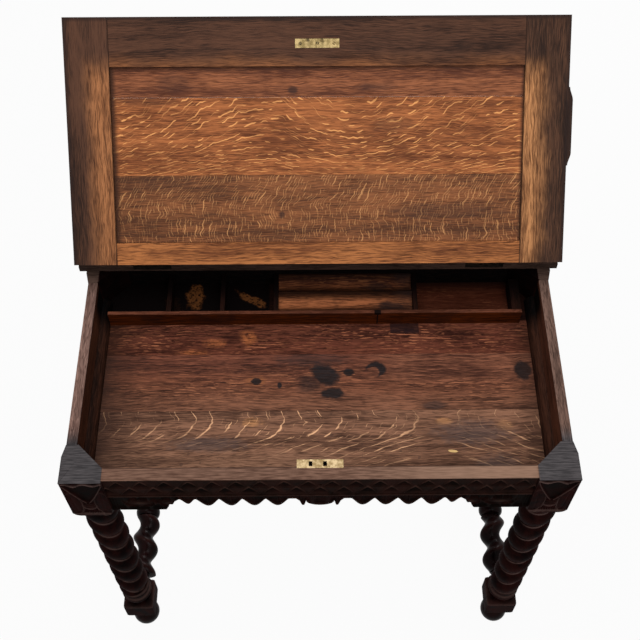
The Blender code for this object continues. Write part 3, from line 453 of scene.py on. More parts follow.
def carved_oak(name, tones, top, gloss, sheen, covered=-1.0):
    """Dark polished oak, carved or turned: rubbed and with painted highlights on its ridges, painted shade
    in its hollows; worn on top where it isn't covered, with a painted grey sheen on the front posts' tops
    and painted shade on the rear posts' tops and inside the case.
    """
    # The third tone is for rubbed ridges and painted highlights
    deep, warm, rubbed = tones
    oak = Oak(name, AXIS_Z, AXIS_X, AXIS_Y, 0.0)
    x, y = oak.on_table()
    side = oak.math("ABSOLUTE", x)
    height = oak.height()
    grime = oak.noise(oak.where, 55.0, 3.0, 0.6)
    oak.colour = oak.mix(oak.ease(grime * 0.5 + oak.cloud * 0.5, 0.36, 0.66), deep, warm)
    rub_and_light = oak.rub_and_light()
    # Painted shade in the hollows, where the rub value is below nought; rubbing and painted highlights on
    # the ridges
    oak.stain(oak.ease(rub_and_light, 0.0, -1.0), dye(5, 4, 3))
    oak.stain(rub_and_light * oak.ease(grime, 0.22, 0.55, 0.35, 1.0), rubbed)

    # Worn top in the given tones, which are a painted grey sheen on the front posts and painted shade on
    # the rear ones: paler to the right along the rail, with a dark line behind the rail's lip
    crown = oak.ease(height, CASE_TOP - 0.0020, CASE_TOP - 0.0008)
    crown = crown * oak.ease(side, covered - 0.001, covered + 0.001)
    scrape = oak.noise(oak.point(oak.v * 40, oak.w * 420, 0.0), 1.0, 3.0)
    worn = oak.mix(oak.ease(scrape, 0.26, 0.74), *top)
    on_rail = oak.ease(side, 0.352, 0.346)
    worn = oak.mix(oak.ease(x, 0.0237, 0.2637) * on_rail * 0.4, worn, dye(152, 121, 101))
    worn = oak.mix(oak.ease(y, 0.0196, 0.0216) * on_rail * 0.7, worn, dye(44, 30, 25))
    oak.stain(crown, worn)
    # Painted shade: near black inside the case, under the fixed board
    inside_case_shade = oak.ease(side, covered, covered - 0.002) * oak.ease(height, 0.690, 0.705)
    oak.stain(inside_case_shade * 0.8, dye(5, 3, 3))
    oak.set(Base_Color=oak.colour, Roughness=gloss + grime * 0.2 + crown * 0.2, Specular_IOR_Level=sheen)
    oak.set(Normal=oak.bump(oak.streaks * 0.3 + grime * 0.25, 0.3, 0.0006))
    return oak.material


def ink_spills(oak, x, y):
    """Ink spilt on the floor's middle board: blots, a ring, and a knot with a pale halo."""
    wander = oak.sway(x * 62, y * 62, 3.0) + oak.sway(x * 150, y * 230, 9.0) * 0.45
    reddish = oak.body(dye(43, 20, 15), dye(102, 57, 43))
    oak.stain(oak.ease(y + wander * 0.02, 0.205, 0.272) * 0.7, reddish)
    brownish = oak.body(dye(60, 36, 25), dye(122, 82, 62))
    oak.stain(oak.ease(y + wander * 0.02, 0.225, 0.160) * 0.75, brownish)
    paler = oak.ease(x + wander * 0.05, 0.06, 0.16) * oak.ease(y, 0.205, 0.230)
    oak.stain(paler * 0.5, oak.body(dye(66, 36, 26), dye(138, 89, 66)))
    halo = oak.spot(x, y, (-0.1116, 0.2218), (0.017, 0.010), wander * 1.6, 0.6)
    oak.stain(halo * oak.ease(oak.streaks, 0.35, 0.6) * 0.5, dye(150, 92, 56))
    largest = oak.spot(x + y * 0.25, y, (0.0690, 0.233), (0.0245, 0.0215), wander * 0.75, 0.24)
    others = (
        ((-0.016, 0.2160), (0.023, 0.0170), 1.0, 0.6, 0.75),
        ((0.0240, 0.1965), (0.0205, 0.0112), 0.85, 0.25, 1.0),
        ((0.053, 0.2388), (0.0096, 0.0074), 0.6, 0.2, 1.0),
        ((0.3623, 0.2405), (0.0165, 0.0185), 0.9, 0.2, 1.0),
        ((-0.1116, 0.2208), (0.0080, 0.0070), 0.9, 0.2, 1.0),
        ((-0.0700, 0.2130), (0.0036, 0.0058), 1.4, 0.3, 1.0),
    )
    ring = oak.spot(x, y, (0.101, 0.2440), (0.0175, 0.0150), wander * 0.6, 0.12)
    bare = oak.spot(x, y, (0.0945, 0.2375), (0.0120, 0.0105), wander * 0.8, 0.16)
    blots = oak.most(largest, oak.spots(x, y, wander, others), ring - bare)
    ink = oak.mix(oak.ease(oak.streaks, 0.4, 0.75), dye(10, 10, 12), dye(34, 31, 33))
    oak.stain(blots * 0.95, ink)
    faint = (
        ((0.2012, 0.1715), (0.019, 0.0075), 1.0, 0.35, 1.0),
        ((-0.015, 0.2650), (0.055, 0.0130), 1.2, 0.5, 0.7),
    )
    oak.stain(oak.spots(x, y, wander, faint) * 0.6, dye(40, 34, 34))


def tray_floor(oak, x, y):
    """Back board of the floor: a dark patch before the tray, painted shade in the corners behind it, and
    the compartments black with ink and painted shade.
    """
    wander = oak.sway(x * 60, y * 60, 8.0)
    patch = oak.slab(x, y, (0.130, 0.182), (0.3195, TRAY_FRONT))
    oak.stain(patch * 0.8, dye(26, 17, 19))
    glows = (
        ((-0.127, 0.312), (0.013, 0.014), 1.6, 0.5, 1.0),
        ((-0.188, 0.300), (0.018, 0.009), 1.6, 0.5, 0.8),
        ((-0.225, 0.280), (0.024, 0.006), 1.6, 0.5, 0.8),
    )
    speckled = oak.ease(oak.streaks * 0.6 + oak.noise(oak.where, 170.0) * 0.4, 0.38, 0.60)
    oak.stain(oak.spots(x, y, wander, glows) * speckled * 0.55, dye(168, 98, 56))
    behind = oak.ease(y, TRAY_FRONT - TRAY_SOFT, TRAY_FRONT + TRAY_SOFT)
    oak.stain(behind * 0.7, dye(50, 20, 9))
    # Painted shade in the corners: by the back board, the divider and the end block
    corner = oak.most(oak.ease(y, 0.400, 0.432), oak.ease(x, 0.176, 0.158), oak.ease(x, 0.335, 0.362))
    oak.stain(behind * corner * 0.88, dye(12, 6, 5))
    # The compartments black with ink and painted shade
    ink_and_shade = behind * oak.ease(x, -0.088, -0.094)
    oak.stain(ink_and_shade, dye(7, 4, 4))
    upright = (
        ((-0.229, 0.402), (0.0155, 0.027), 1.2, 0.2, 1.0),
        ((-0.268, 0.385), (0.014, 0.016), 2.6, 0.3, 0.08),
    )
    slanting = oak.spot(x, y + x * 0.55, (-0.124, 0.3276), (0.028, 0.0095), wander * 1.5, 0.22)
    bare = oak.most(oak.spots(x, y, wander, upright), slanting)
    flaked = oak.ease(oak.noise(oak.where, 300.0), 0.32, 0.56)
    oak.stain(ink_and_shade * bare * flaked * 0.8, dye(90, 53, 26))


def front_wear(oak, x, y):
    """Front board of the floor: pale patches, one chip, grey places and small dents."""
    wander = oak.sway(x * 80, y * 80, 2.0) + oak.sway(x * 210, y * 260, 4.0) * 0.6
    pale = (
        ((-0.115, 0.140), (0.014, 0.008), 1.8, 0.5, 0.6),
        ((0.215, 0.140), (0.014, 0.006), 1.6, 0.4, 0.6),
        ((0.318, 0.132), (0.014, 0.009), 1.8, 0.6, 0.4),
    )
    streaked = oak.ease(oak.streaks, 0.3, 0.6, 0.4, 1.0)
    oak.stain(oak.spots(x, y, wander, pale) * streaked * 0.6, dye(200, 140, 86))
    chip = oak.spot(x + y, y, (0.3089, 0.0831), (0.0075, 0.0026), wander * 0.3, 0.15)
    oak.stain(chip * 0.9, dye(224, 186, 124))
    grey = (
        ((-0.190, 0.098), (0.060, 0.013), 1.4, 0.5, 1.0),
        ((0.262, 0.118), (0.060, 0.022), 1.4, 0.5, 1.0),
        ((0.300, 0.055), (0.035, 0.020), 1.4, 0.5, 1.0),
    )
    oak.stain(oak.spots(x, y, wander, grey) * 0.5, dye(74, 62, 60))
    worn = oak.ease(y + wander * 0.02, 0.095, 0.060) * oak.ease(x, 0.10, -0.02)
    oak.stain(worn * 0.45, oak.body(dye(98, 68, 52), dye(152, 112, 88)))
    dents = oak.ease(oak.noise(oak.where, 95.0, 0.0), 0.76, 0.80)
    oak.stain(dents * 0.4, dye(46, 34, 32))


def floor_oak(name, tones, figure, strength, wear, shift, sheen=0.06):
    """A board of the well's floor."""
    deep, light, fleck = tones
    oak = Oak(name, AXIS_X, AXIS_Y, AXIS_Z, shift)
    x, y = oak.on_table()
    mask = figure(oak, x, y) * oak.ease(oak.cloud, 0.30, 0.50, 0.3, 1.0)
    oak.colour = oak.body(deep, light)
    oak.stain(mask * strength, fleck)
    wear(oak, x, y)
    open_well = oak.ease(y, TRAY_FRONT + TRAY_SOFT, TRAY_FRONT - TRAY_SOFT)
    oak.stain(oak.pores * open_well * 0.6, dye(34, 18, 12))
    left = oak.ease(x + oak.sway(x * 30, y * 30, 4.1) * 0.03, -0.285, -0.400) * 0.9
    right = oak.ease(x, 0.325, 0.400) * 0.7
    oak.stain(oak.most(left, right) * open_well, dye(37, 21, 15))
    return oak.wax(0.52, sheen)


def strip_seam(oak, x, y):
    """The strip in two lengths: a nail across its seam, and a rubbed top edge."""
    height = oak.height()
    edge = oak.ease(height, 0.7492, 0.7506)
    oak.stain(edge * 0.7, oak.body(dye(60, 32, 22), dye(100, 60, 45)))
    nail = oak.slab(x, height, (0.1050, 0.1074), (0.700, 0.7475), 0.0004)
    head = oak.slab(x, height, (0.1004, 0.1120), (0.7450, 0.7525), 0.0006)
    oak.stain(oak.most(nail, head) * 0.96, dye(9, 6, 6))


def pen_grooves(oak, x, y):
    """Pen tray: dirt and painted shade along the front and back of each groove, ink at the right-hand end.
    """
    share = oak.math("FRACT", (y - PEN_START) / PEN_GROOVE)
    front = oak.ease(share, 0.56, 0.12)
    back = oak.ease(share, 0.66, 0.98)
    oak.stain(thready_figure(oak, x, y) * 0.5, dye(166, 104, 64))
    oak.stain(oak.ease(y, 0.380, 0.396) * 0.45, dye(40, 18, 11))
    # Dirt and painted shade in each groove
    oak.stain(oak.most(front, back) * 0.92, dye(15, 7, 5))
    wander = oak.sway(x * 50, y * 50, 5.0)
    blots = (
        ((0.130, 0.366), (0.030, 0.010), 1.4, 0.4, 1.0),
        ((0.105, 0.408), (0.024, 0.010), 1.6, 0.4, 0.8),
    )
    ink = oak.most(oak.spots(x, y, wander, blots), oak.ease(x + wander * 0.03, 0.125, 0.160) * 0.6)
    oak.stain(ink * 0.8, dye(26, 20, 20))


def divider_ink_and_shade(oak, x, y):
    """Dividers: blackened towards the back board, by ink and painted shade."""
    oak.stain(oak.ease(y, 0.352, 0.402) * 0.9, dye(4, 2, 2))


def tray_oak(name, grain, across, face, tones, marks, shift=0.0):
    """Red-brown stained oak of the tray."""
    oak = Oak(name, grain, across, face, shift)
    x, y = oak.on_table()
    oak.colour = oak.body(*tones)
    oak.stain(oak.pores * 0.5, dye(30, 14, 8))
    smoke = oak.ease(oak.noise(oak.where, 24.0, 3.0), 0.50, 0.66) * 0.4
    oak.stain(smoke, dye(26, 14, 12))
    marks(oak, x, y)
    return oak.wax(0.55, 0.02)


def aged_brass(name, face, top, tones):
    """Brass gone dull in clouds, finely scratched, black below its face as painted shade in holes and along
    its sides.
    """
    brass = Finish(name)
    where = brass.place()
    sunk_shade = brass.ease(brass.along(where, face), top - 0.0001, top - 0.0004)
    cloud = brass.noise(where, 130.0, 3.0, 0.6)
    rubbing = brass.point(brass.along(where, AXIS_X) * 70, brass.along(where, AXIS_Y) * 900, 0.0)
    scratch = brass.noise(rubbing)
    colour = brass.mix(brass.ease(cloud, 0.35, 0.68), *tones)
    # Painted shade below the face
    colour = brass.mix(sunk_shade * 0.9, colour, dye(24, 17, 10))
    brass.set(Base_Color=colour, Metallic=0.75, Roughness=0.34 + cloud * 0.2 + scratch * 0.1)
    brass.set(Normal=brass.bump(scratch + cloud, 0.15, 0.0003))
    return brass.material


def dark_iron(name):
    """Dull iron of the hinges and the lock's case."""
    iron = Finish(name)
    cloud = iron.noise(iron.place(), 160.0, 3.0, 0.6)
    colour = iron.mix(iron.ease(cloud, 0.35, 0.7), dye(12, 10, 9), dye(34, 27, 22))
    iron.set(Base_Color=colour, Metallic=0.3, Roughness=0.55 + cloud * 0.25, Specular_IOR_Level=0.05)
    iron.set(Normal=iron.bump(cloud, 0.2, 0.0004))
    return iron.material


def paint(name, material):
    """Give a CAD node its finish."""
    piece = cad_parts[name]
    piece.data.materials.clear()
    piece.data.materials.append(material)
    return piece


def dress(material, names, width=0.0009):
    """Finish CAD nodes and soften their arrises."""
    for name in names:
        bevel = paint(name, material).modifiers.new("eased arris", "BEVEL")
        bevel.width = width
        bevel.segments = 2
        bevel.limit_method = "ANGLE"
        bevel.angle_limit = math.radians(35)


def add_object(name, data):
    """A new object in the scene."""
    made = bpy.data.objects.new(name, data)
    bpy.context.scene.collection.objects.link(made)
    return made


def new_mesh(name, points, faces):
    """A mesh from its points and faces."""
    mesh = bpy.data.meshes.new(name)
    mesh.from_pydata([tuple(point) for point in points], [], [tuple(face) for face in faces])
    return mesh


def add_piece(node, kind, points, faces, rub_and_light, material, sharp=42):
    """A finer piece in place of one of the frame's nodes."""
    name = kind + "_" + node
    mesh = new_mesh(name, points, faces)
    mesh.validate()
    layer = mesh.attributes.new("rub_and_light", "FLOAT", "POINT")
    layer.data.foreach_set("value", np.asarray(rub_and_light, dtype=np.float32))
    mesh.shade_smooth()
    mesh.set_sharp_from_angle(angle=math.radians(sharp))
    mesh.materials.append(material)
    piece = add_object(name, mesh)
    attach(piece, "table")
    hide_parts(node)


def ring_faces(rows, sides, first=0):
    """Faces between successive rings of points, with both ends closed."""
    faces = []
    for row in range(rows - 1):
        low = first + row * sides
        high = low + sides
        for side in range(sides):
            after = (side + 1) % sides
            faces.append((low + side, low + after, high + after, high + side))
    faces.append(tuple(reversed(range(first, first + sides))))
    last = first + (rows - 1) * sides
    faces.append(tuple(range(last, last + sides)))
    return faces


def flipped(faces):
    """The same faces, seen from the other side."""
    return [tuple(reversed(face)) for face in faces]


def turned_rings(stations, sides):
    """Points and rub of a piece turned about Z, from stations of (height, radius rule, rub rule)."""
    angles = np.arange(sides) * math.tau / sides
    rings = []
    rubs_and_lights = []
    for height, radius, rub_and_light in stations:
        reach = radius(angles)
        ring = [reach * np.cos(angles), reach * np.sin(angles), np.full(sides, height)]
        rings.append(np.stack(ring, axis=1))
        rubs_and_lights.append(rub_and_light(angles))
    return np.concatenate(rings), np.concatenate(rubs_and_lights)


def even(value):
    """A rule that is the same all round."""
    return lambda angles: np.full(len(angles), float(value))


def round_station(height, radius, rub_and_light=0.0):
    """A round section."""
    return height, even(radius), even(rub_and_light)


def squared(half, corner=0.0025):
    """A square section with its corners taken off."""

    def radius(angles):
        c = np.abs(np.cos(angles))
        s = np.abs(np.sin(angles))
        return np.minimum(half / np.maximum(c, s), (2 * half - corner) / (c + s))

    return radius


def rope_rules(turn, hand, end):
    """The leg's section at one turn: a round strand and its groove, with a painted highlight on the
    groove's lower lip, strongest on the sides that face outwards.
    """

    def radius(angles):
        lift = np.abs(np.sin((angles - turn) / 2)) ** 0.78
        return LEG_RADIUS - LEG_GROOVE * (1 - lift)

    def rub_and_light(angles):
        phase = hand * (np.mod(angles - turn + math.pi, math.tau) - math.pi)
        facing_out = 0.25 + 0.75 * np.clip(end * np.sin(angles) + 0.25 * hand * np.cos(angles), 0, 1)
        return facing_out * ridge(phase - 0.36, 0.11)

    return radius, rub_and_light


def ridge(distance, width):
    """A soft ridge: 1 on the line, falling away to either side."""
    return np.exp(-((distance / width) ** 2))


def bead_stations(middle, height, root, radius, rub_and_light=0.45, steps=16):
    """A half-round ring with a rubbed crown."""
    stations = []
    for step in range(steps + 1):
        angle = math.pi * (step / steps - 0.5)
        swell = root + (radius - root) * math.cos(angle)
        worn = rub_and_light * ridge(angle - 0.7, 0.35)
        stations.append(round_station(middle + height / 2 * math.sin(angle), swell, worn))
    return stations


def block_stations(base, top, half, chamfer=0.003):
    """A square block with chamfered ends."""
    small = squared(half - chamfer)
    full = squared(half)
    return [
        (base, small, even(0.05)),
        (base + chamfer, full, even(0.15)),
        (base + 2 * chamfer, full, even(0.0)),
        (top - 2 * chamfer, full, even(0.0)),
        (top - chamfer, full, even(0.35)),
        (top, small, even(0.1)),
    ]


def leg_stations(hand, end, rows=320):
    """The leg below its carved block: lower block, neck, two rings and the rope twist."""
    stations = block_stations(FOOT_HEIGHT + JOINT_GAP, LOWER_BLOCK_TOP, LOWER_BLOCK_HALF)
    stations += [round_station(LOWER_BLOCK_TOP, 0.022), round_station(0.152, 0.0215)]
    stations += bead_stations(0.1775, 0.027, 0.022, 0.0305)
    stations += bead_stations(0.2028, 0.023, 0.024, 0.0300)
    twist = POST_BASE + 0.001 - TWIST_BASE
    for row in range(rows + 1):
        share = row / rows
        radius, rub_and_light = rope_rules(hand * math.tau * LEG_TURNS * share, hand, end)
        stations.append((TWIST_BASE + twist * share, radius, rub_and_light))
    return stations


def side_petal(p, t, lift, rub_and_light):
    """A round petal to one side of the flower (p runs outwards), with a rim on its inner edge."""
    reach = np.hypot((p - 25) / 14.5, (t - 46) / 47)
    dome = 0.46 + 0.40 * np.clip(1 - reach**2, 0, 1)
    lift = np.where(reach < 1, np.maximum(lift, dome), lift)
    rim = ridge((reach - 0.97) * 14, 1.4) * (p < 33)
    lift = np.maximum(lift, 0.95 * rim)
    rub_and_light = np.maximum(rub_and_light, 0.5 * rim**2 * np.clip((75 - t) / 30, 0.2, 1))
    vein = ridge(p - 24 - (t - 46) * 0.05, 1.6) * (reach < 0.75)
    return lift - 0.16 * vein, rub_and_light


def carved_flower(s, t):
    """Relief of a block's face, across (s) and up (t) in millimetres: its lift, and how rubbed it is, with
    painted highlights on its ridges and painted shade in the top petal's hollow.
    """
    lift = np.full_like(s, 0.34)
    rub_and_light = np.zeros_like(s)
    for side in (-1, 1):
        lift, rub_and_light = side_petal(side * s, t, lift, rub_and_light)

    # Broad top petal: a dished triangle between two raised edges
    spread = 31 * np.clip((t - 50) / 66, 0, 1) ** 0.8
    inside = (np.abs(s) < spread) & (t > 50) & (t < 120)
    dish = 0.16 + 0.20 * np.clip(np.abs(s) / np.maximum(spread, 1), 0, 1) ** 2
    lift = np.where(inside, dish, lift)
    edge = ridge((np.abs(s) - spread) * 0.86, 2.0) * (t > 48) * (t < 119)
    lift = np.maximum(lift, edge)
    rub_and_light = np.maximum(rub_and_light, 0.5 * edge**3)

    # Wavy ledge under the block's top edge
    ledge = 121.5 + 3.4 * np.cos((s + 3) / 31 * math.tau) - 2.0 * ridge(s - 14, 7)
    crest = ridge(t - ledge, 1.9)
    lift = np.where(t > ledge, np.where(t > 130.5, 1.0, 0.30), lift)
    lift = np.maximum(lift, crest)
    rub_and_light = np.maximum(rub_and_light * (t < ledge), crest**2)

    # Banded boss at the flower's heart
    heart = np.hypot(s / 11.5, (t - 39) / 13.5)
    bands = 0.72 + 0.20 * np.cos((t - 39) / 7.0 * math.tau)
    boss = np.maximum(bands * np.sqrt(np.clip(1.15 - heart**2, 0, 1)), 0.3)
    lift = np.where(heart < 1, boss, lift)
    cup = ridge((heart - 1.0) * 12, 1.6) * (t < 44)
    lift = np.maximum(lift, 0.9 * cup)
    rub_and_light = np.where(heart < 0.95, 0.12 * (bands > 0.85), rub_and_light)
    rub_and_light = np.maximum(rub_and_light, 0.5 * cup**2)

    # Beaded hollow under the boss, the lip along the base and the border up both sides
    beads = (t < 24) & (np.abs(s) < 24 - t * 0.5) & (heart > 1.08)
    lift = np.where(beads, 0.25 + 0.22 * (np.cos(s / 4.2 * math.tau) > 0) * (t < 18), lift)
    lift = np.maximum(lift, np.clip((7.5 - t) / 2.0, 0, 1))
    rub_and_light = np.maximum(rub_and_light, 0.4 * ridge(t - 6.0, 1.7))
    border = np.clip((np.abs(s) - 32.4) / 1.0, 0, 1)
    rub_and_light = np.maximum(rub_and_light, 0.12 * border)

    # The top petal's hollow is the darkest
    hollow = inside & (heart > 1.1) & (t < ledge - 2)
    rub_and_light = np.where(hollow, rub_and_light - 0.6 * (1 - np.clip(rub_and_light * 4, 0, 1)), rub_and_light)
    return np.maximum(lift, 0.9 * border), rub_and_light


def leg_place(side, end):
    """The middle of a leg on the floor."""
    return TABLE_X + side * LEG_X, TABLE_Y + (LEG_FRONT_Y if end < 0 else LEG_REAR_Y), 0.0


def block_ring(end):
    """A block's section: out to the side (a) and to the end (b), and the face; 0 and 1 are carved."""
    cut = FRONT_CUT if end < 0 else REAR_CUT
    corners = [
        (-POST_HALF, POST_HALF),
        (POST_HALF, POST_HALF),
        (POST_HALF, -0.012),
        (0.0285, -POST_HALF),
        (POST_HALF - cut, -POST_HALF),
        (-POST_HALF, POST_HALF - cut),
    ]
    ring = []
    for number, (start, stop) in enumerate(zip(corners, corners[1:] + corners[:1])):
        steps = FLOWER_COLUMNS if number < 2 else 4
        for step in range(steps):
            share = step / steps
            a = start[0] + (stop[0] - start[0]) * share
            b = start[1] + (stop[1] - start[1]) * share
            ring.append((a, b, number))
    return ring


def block_mesh(side, end, first):
    """Carved block at a post's top, its corner towards the well cut off."""
    ring = block_ring(end)
    across = np.array([(a if number == 0 else b) * 1000 for a, b, number in ring])
    middle_x, middle_y, _ = leg_place(side, end)
    heights = [*np.linspace(0.0, BLOCK_CARVED, FLOWER_ROWS), BLOCK_SHOULDER, BLOCK_HEIGHT]
    points = []
    rubs_and_lights = []
    for height in heights:
        lift, rub_and_light = carved_flower(across, np.full_like(across, height * 1000))
        inset = BLOCK_ARRIS if height == BLOCK_HEIGHT else 0.0
        rounded = math.sqrt(1 - max(0.0, 1 - height / BLOCK_ROUNDING) ** 2)
        z = POST_BASE + BLOCK_LIFT + height
        for (a, b, number), up, worn in zip(ring, lift, rub_and_light):
            sink = CARVING_DEPTH * (1 - up) * (height <= BLOCK_CARVED) + inset
            corner = number == 1 and b == POST_HALF
            if number == 0:
                b = b - sink
            if number == 1:
                a = a - sink
            if corner or (number == 0 and a == -POST_HALF):
                a, b = a - inset * corner, POST_HALF - inset
            trim = min(1.0, (BLOCK_REACH + BLOCK_SWELL * rounded) / math.hypot(a, b))
            points.append((middle_x + side * a * trim, middle_y + end * b * trim, z))
            rubs_and_lights.append(worn if number < 2 else 0.0)
    faces = ring_faces(len(heights), len(ring), first)
    return points, faces if side * end < 0 else flipped(faces), rubs_and_lights


def add_leg(name, side, end, material):
    """A corner post in one length: twist-turned leg with its carved block."""
    sides = 64
    stations = leg_stations(side, end)
    points, rubs_and_lights = turned_rings(stations, sides)
    points = points + np.array(leg_place(side, end))
    faces = ring_faces(len(stations), sides)
    block_points, block_faces, block_rubs_and_lights = block_mesh(side, end, len(points))
    points = list(points) + block_points
    add_piece(name, "carved", points, faces + block_faces, list(rubs_and_lights) + block_rubs_and_lights, material)


def add_foot(name, side, end, material):
    """Turned ball foot under a leg."""
    sides = 48
    steps = 28
    rise = math.sqrt(FOOT_BALL**2 - FOOT_SOLE**2)
    start = -math.asin(rise / FOOT_BALL)
    stations = [round_station(0.0, FOOT_SOLE - 0.0002)]
    for step in range(steps + 1):
        angle = start + (0.92 - start) * step / steps
        worn = 0.25 * max(0.0, math.sin(angle))
        height = rise + FOOT_BALL * math.sin(angle)
        stations.append(round_station(height, FOOT_BALL * math.cos(angle), worn))
    stations += [round_station(height, FOOT_NECK) for height in (0.0555, 0.0672)]
    stations += bead_stations(0.0720, 0.0090, 0.0180, 0.0225, 0.5, 10)
    stations += [round_station(height, FOOT_NECK) for height in (0.0768, FOOT_HEIGHT)]
    points, rubs_and_lights = turned_rings(stations, sides)
    points = points + np.array(leg_place(side, end))
    add_piece(name, "turned", points, ring_faces(len(stations), sides), rubs_and_lights, material)


def strand_rules(turn):
    """The stretcher's section: a round strand set off its axis."""

    def radius(angles):
        across = STRETCHER_OFFSET * np.sin(angles - turn)
        return STRETCHER_OFFSET * np.cos(angles - turn) + np.sqrt(STRETCHER_STRAND**2 - across**2)

    def rub_and_light(angles):
        return 0.35 * np.clip(np.cos(angles - turn), 0, 1) ** 6

    return radius, rub_and_light


def add_stretcher(name, side, material, sides=48, rows=110):
    """Twist-turned side stretcher with a ring at mid-length."""
    start = LEG_FRONT_Y + LOWER_BLOCK_HALF + JOINT_GAP
    length = LEG_REAR_Y - LOWER_BLOCK_HALF - JOINT_GAP - start
    ring_start = length / 2 - 0.012
    twist_end = ring_start - 0.003
    half = [round_station(0.0, 0.0165)]
    half += bead_stations(0.0048, 0.0090, 0.0165, 0.0190, 0.5, 10)
    half += [round_station(place, STRETCHER_NECK) for place in (0.0100, 0.0185)]
    for row in range(rows + 1):
        share = row / rows
        radius, rub_and_light = strand_rules(side * math.tau * STRETCHER_TURNS * share)
        half.append((STRETCHER_TWIST + (twist_end - STRETCHER_TWIST) * share, radius, rub_and_light))
    half += [round_station(place, STRETCHER_NECK) for place in (twist_end, ring_start)]
    stations = half + bead_stations(length / 2, 0.024, 0.0200, 0.0260, 0.6)
    points, rubs_and_lights = turned_rings(stations, sides)

    # The other half is the first one mirrored, then spun so that its twist runs on
    other, other_rubs_and_lights = turned_rings(list(reversed(half)), sides)
    other[:, 2] = length - other[:, 2]
    flip = math.tau * STRETCHER_TURNS * 2
    turn = np.array([[math.cos(flip), math.sin(flip)], [-math.sin(flip), math.cos(flip)]])
    other[:, :2] = (other[:, :2] * np.array([1.0, -1.0])) @ turn
    backwards = np.r_[0:1, sides - 1 : 0 : -1]
    other = other.reshape(len(half), sides, 3)[:, backwards, :].reshape(-1, 3)
    other_rubs_and_lights = other_rubs_and_lights.reshape(len(half), sides)[:, backwards].reshape(-1)
    points = np.concatenate([points, other])
    rubs_and_lights = np.concatenate([rubs_and_lights, other_rubs_and_lights])
    laid = np.stack([points[:, 0], points[:, 2], -points[:, 1]], axis=1)
    laid = laid + np.array([TABLE_X + side * LEG_X, TABLE_Y + start, STRETCHER_Z])
    faces = ring_faces(len(stations) + len(half), sides)
    add_piece(name, "twisted", laid, faces, rubs_and_lights, material)


def apron_drop(x):
    """How far the apron hangs below the case's top, at distances from its middle."""
    x = np.abs(x)

    # Lunette at the middle, with a pendant on either side
    bow = np.sqrt(np.clip(1 - (x / LUNETTE_HALF) ** 2, 0, 1))
    lunette = APRON_SHOULDER + (APRON_TIP - APRON_SHOULDER) * bow
    pendant_x = [LUNETTE_HALF, 0.0265, 0.0303, 0.0342, 0.040, LOBES_START]
    pendant_drop = [APRON_SHOULDER, APRON_TIP, APRON_TIP, APRON_SHOULDER, APRON_NOTCH, APRON_NOTCH]
    drop = np.where(x < LUNETTE_HALF, lunette, np.interp(x, pendant_x, pendant_drop))

    # Lobes, one small lobe, and the ear by the post
    share = (x - LOBES_START) / SCALE_PITCH
    swell = np.abs(np.sin(math.pi * share)) ** 1.25
    lobes = APRON_NOTCH + (APRON_TIP - APRON_NOTCH) * swell
    drop = np.where((share >= 0) & (share < LOBES), lobes, drop)
    share = (x - LOBES_START - LOBES * SCALE_PITCH) / SMALL_LOBE
    swell = (1 - np.cos(math.tau * share)) / 2
    drop = np.where((share >= 0) & (share < 1), APRON_NOTCH + SMALL_LOBE_DROP * swell, drop)
    run = np.clip((share - 1) * SMALL_LOBE / EAR_RUN, 0, 1)
    rise = np.interp(run, [0.0, 0.26, 0.52, 0.69, 1.0], [0.0, 0.18, 0.60, 0.54, 1.0])
    return np.where(share >= 1, APRON_NOTCH + EAR_DROP * rise, drop)


def apron_scales(x, d):
    """Two rows of scales, half a scale apart: rubbed on their rims, with painted shade in the pockets
    below.
    """
    lift = np.full_like(x, 0.80)
    rub_and_light = np.zeros_like(x)
    pocket = np.zeros_like(x)
    for offset, top, tall in ((0.5, 0.0085, 0.027), (0.0, 0.0310, 0.0275)):
        s = x / SCALE_PITCH - offset
        s = np.abs(s - np.round(s))
        t = (d - top) / tall
        below = t - (2 * s) ** 1.15
        hollow = np.clip(below / 0.16, 0, 1) * np.clip(1 - t, 0, 1) ** 0.8
        lift = np.where((below > 0) & (t < 1), 0.92 - 1.15 * hollow, lift)
        # Painted shade in the pocket under each rim
        shade = np.clip(below / 0.07, 0, 1) * np.clip(1.6 - t / 0.5, 0, 1)
        pocket = np.maximum(pocket, shade)
        rim = ridge(below / np.sqrt(1 + (1.6 * (1 - s)) ** 2), 0.10) * (t > -0.1) * (t < 0.98)
        lift = np.clip(np.maximum(lift, rim), 0, 1)
        rub_and_light = np.maximum(rub_and_light, 0.5 * rim * np.clip(1.1 - 2.4 * s, 0, 1))
    return lift, np.where(rub_and_light < 0.08, 0.08 - 1.1 * pocket, rub_and_light)


def apron_ears(x, d, ear, lift, rub_and_light):
    """Two carved leaves on each of the apron's ears."""
    for middle, half in ((0.300, 0.026), (0.252, 0.016)):
        reach = np.hypot((np.abs(x) - middle) / half, (d - 0.094) / 0.013)
        rim = ridge(reach - 1, 0.14)
        dome = 0.30 + 0.5 * np.clip(1 - reach**2, 0, 1)
        lift = np.where(ear, np.maximum(np.where(reach < 1, dome, lift), rim), lift)
        worn = 0.2 * rim + 0.75 * np.clip(1 - 1.2 * reach, 0, 1) - 0.3
        rub_and_light = np.where(ear & (reach < 1.3), np.maximum(rub_and_light, worn), rub_and_light)
    return lift, rub_and_light


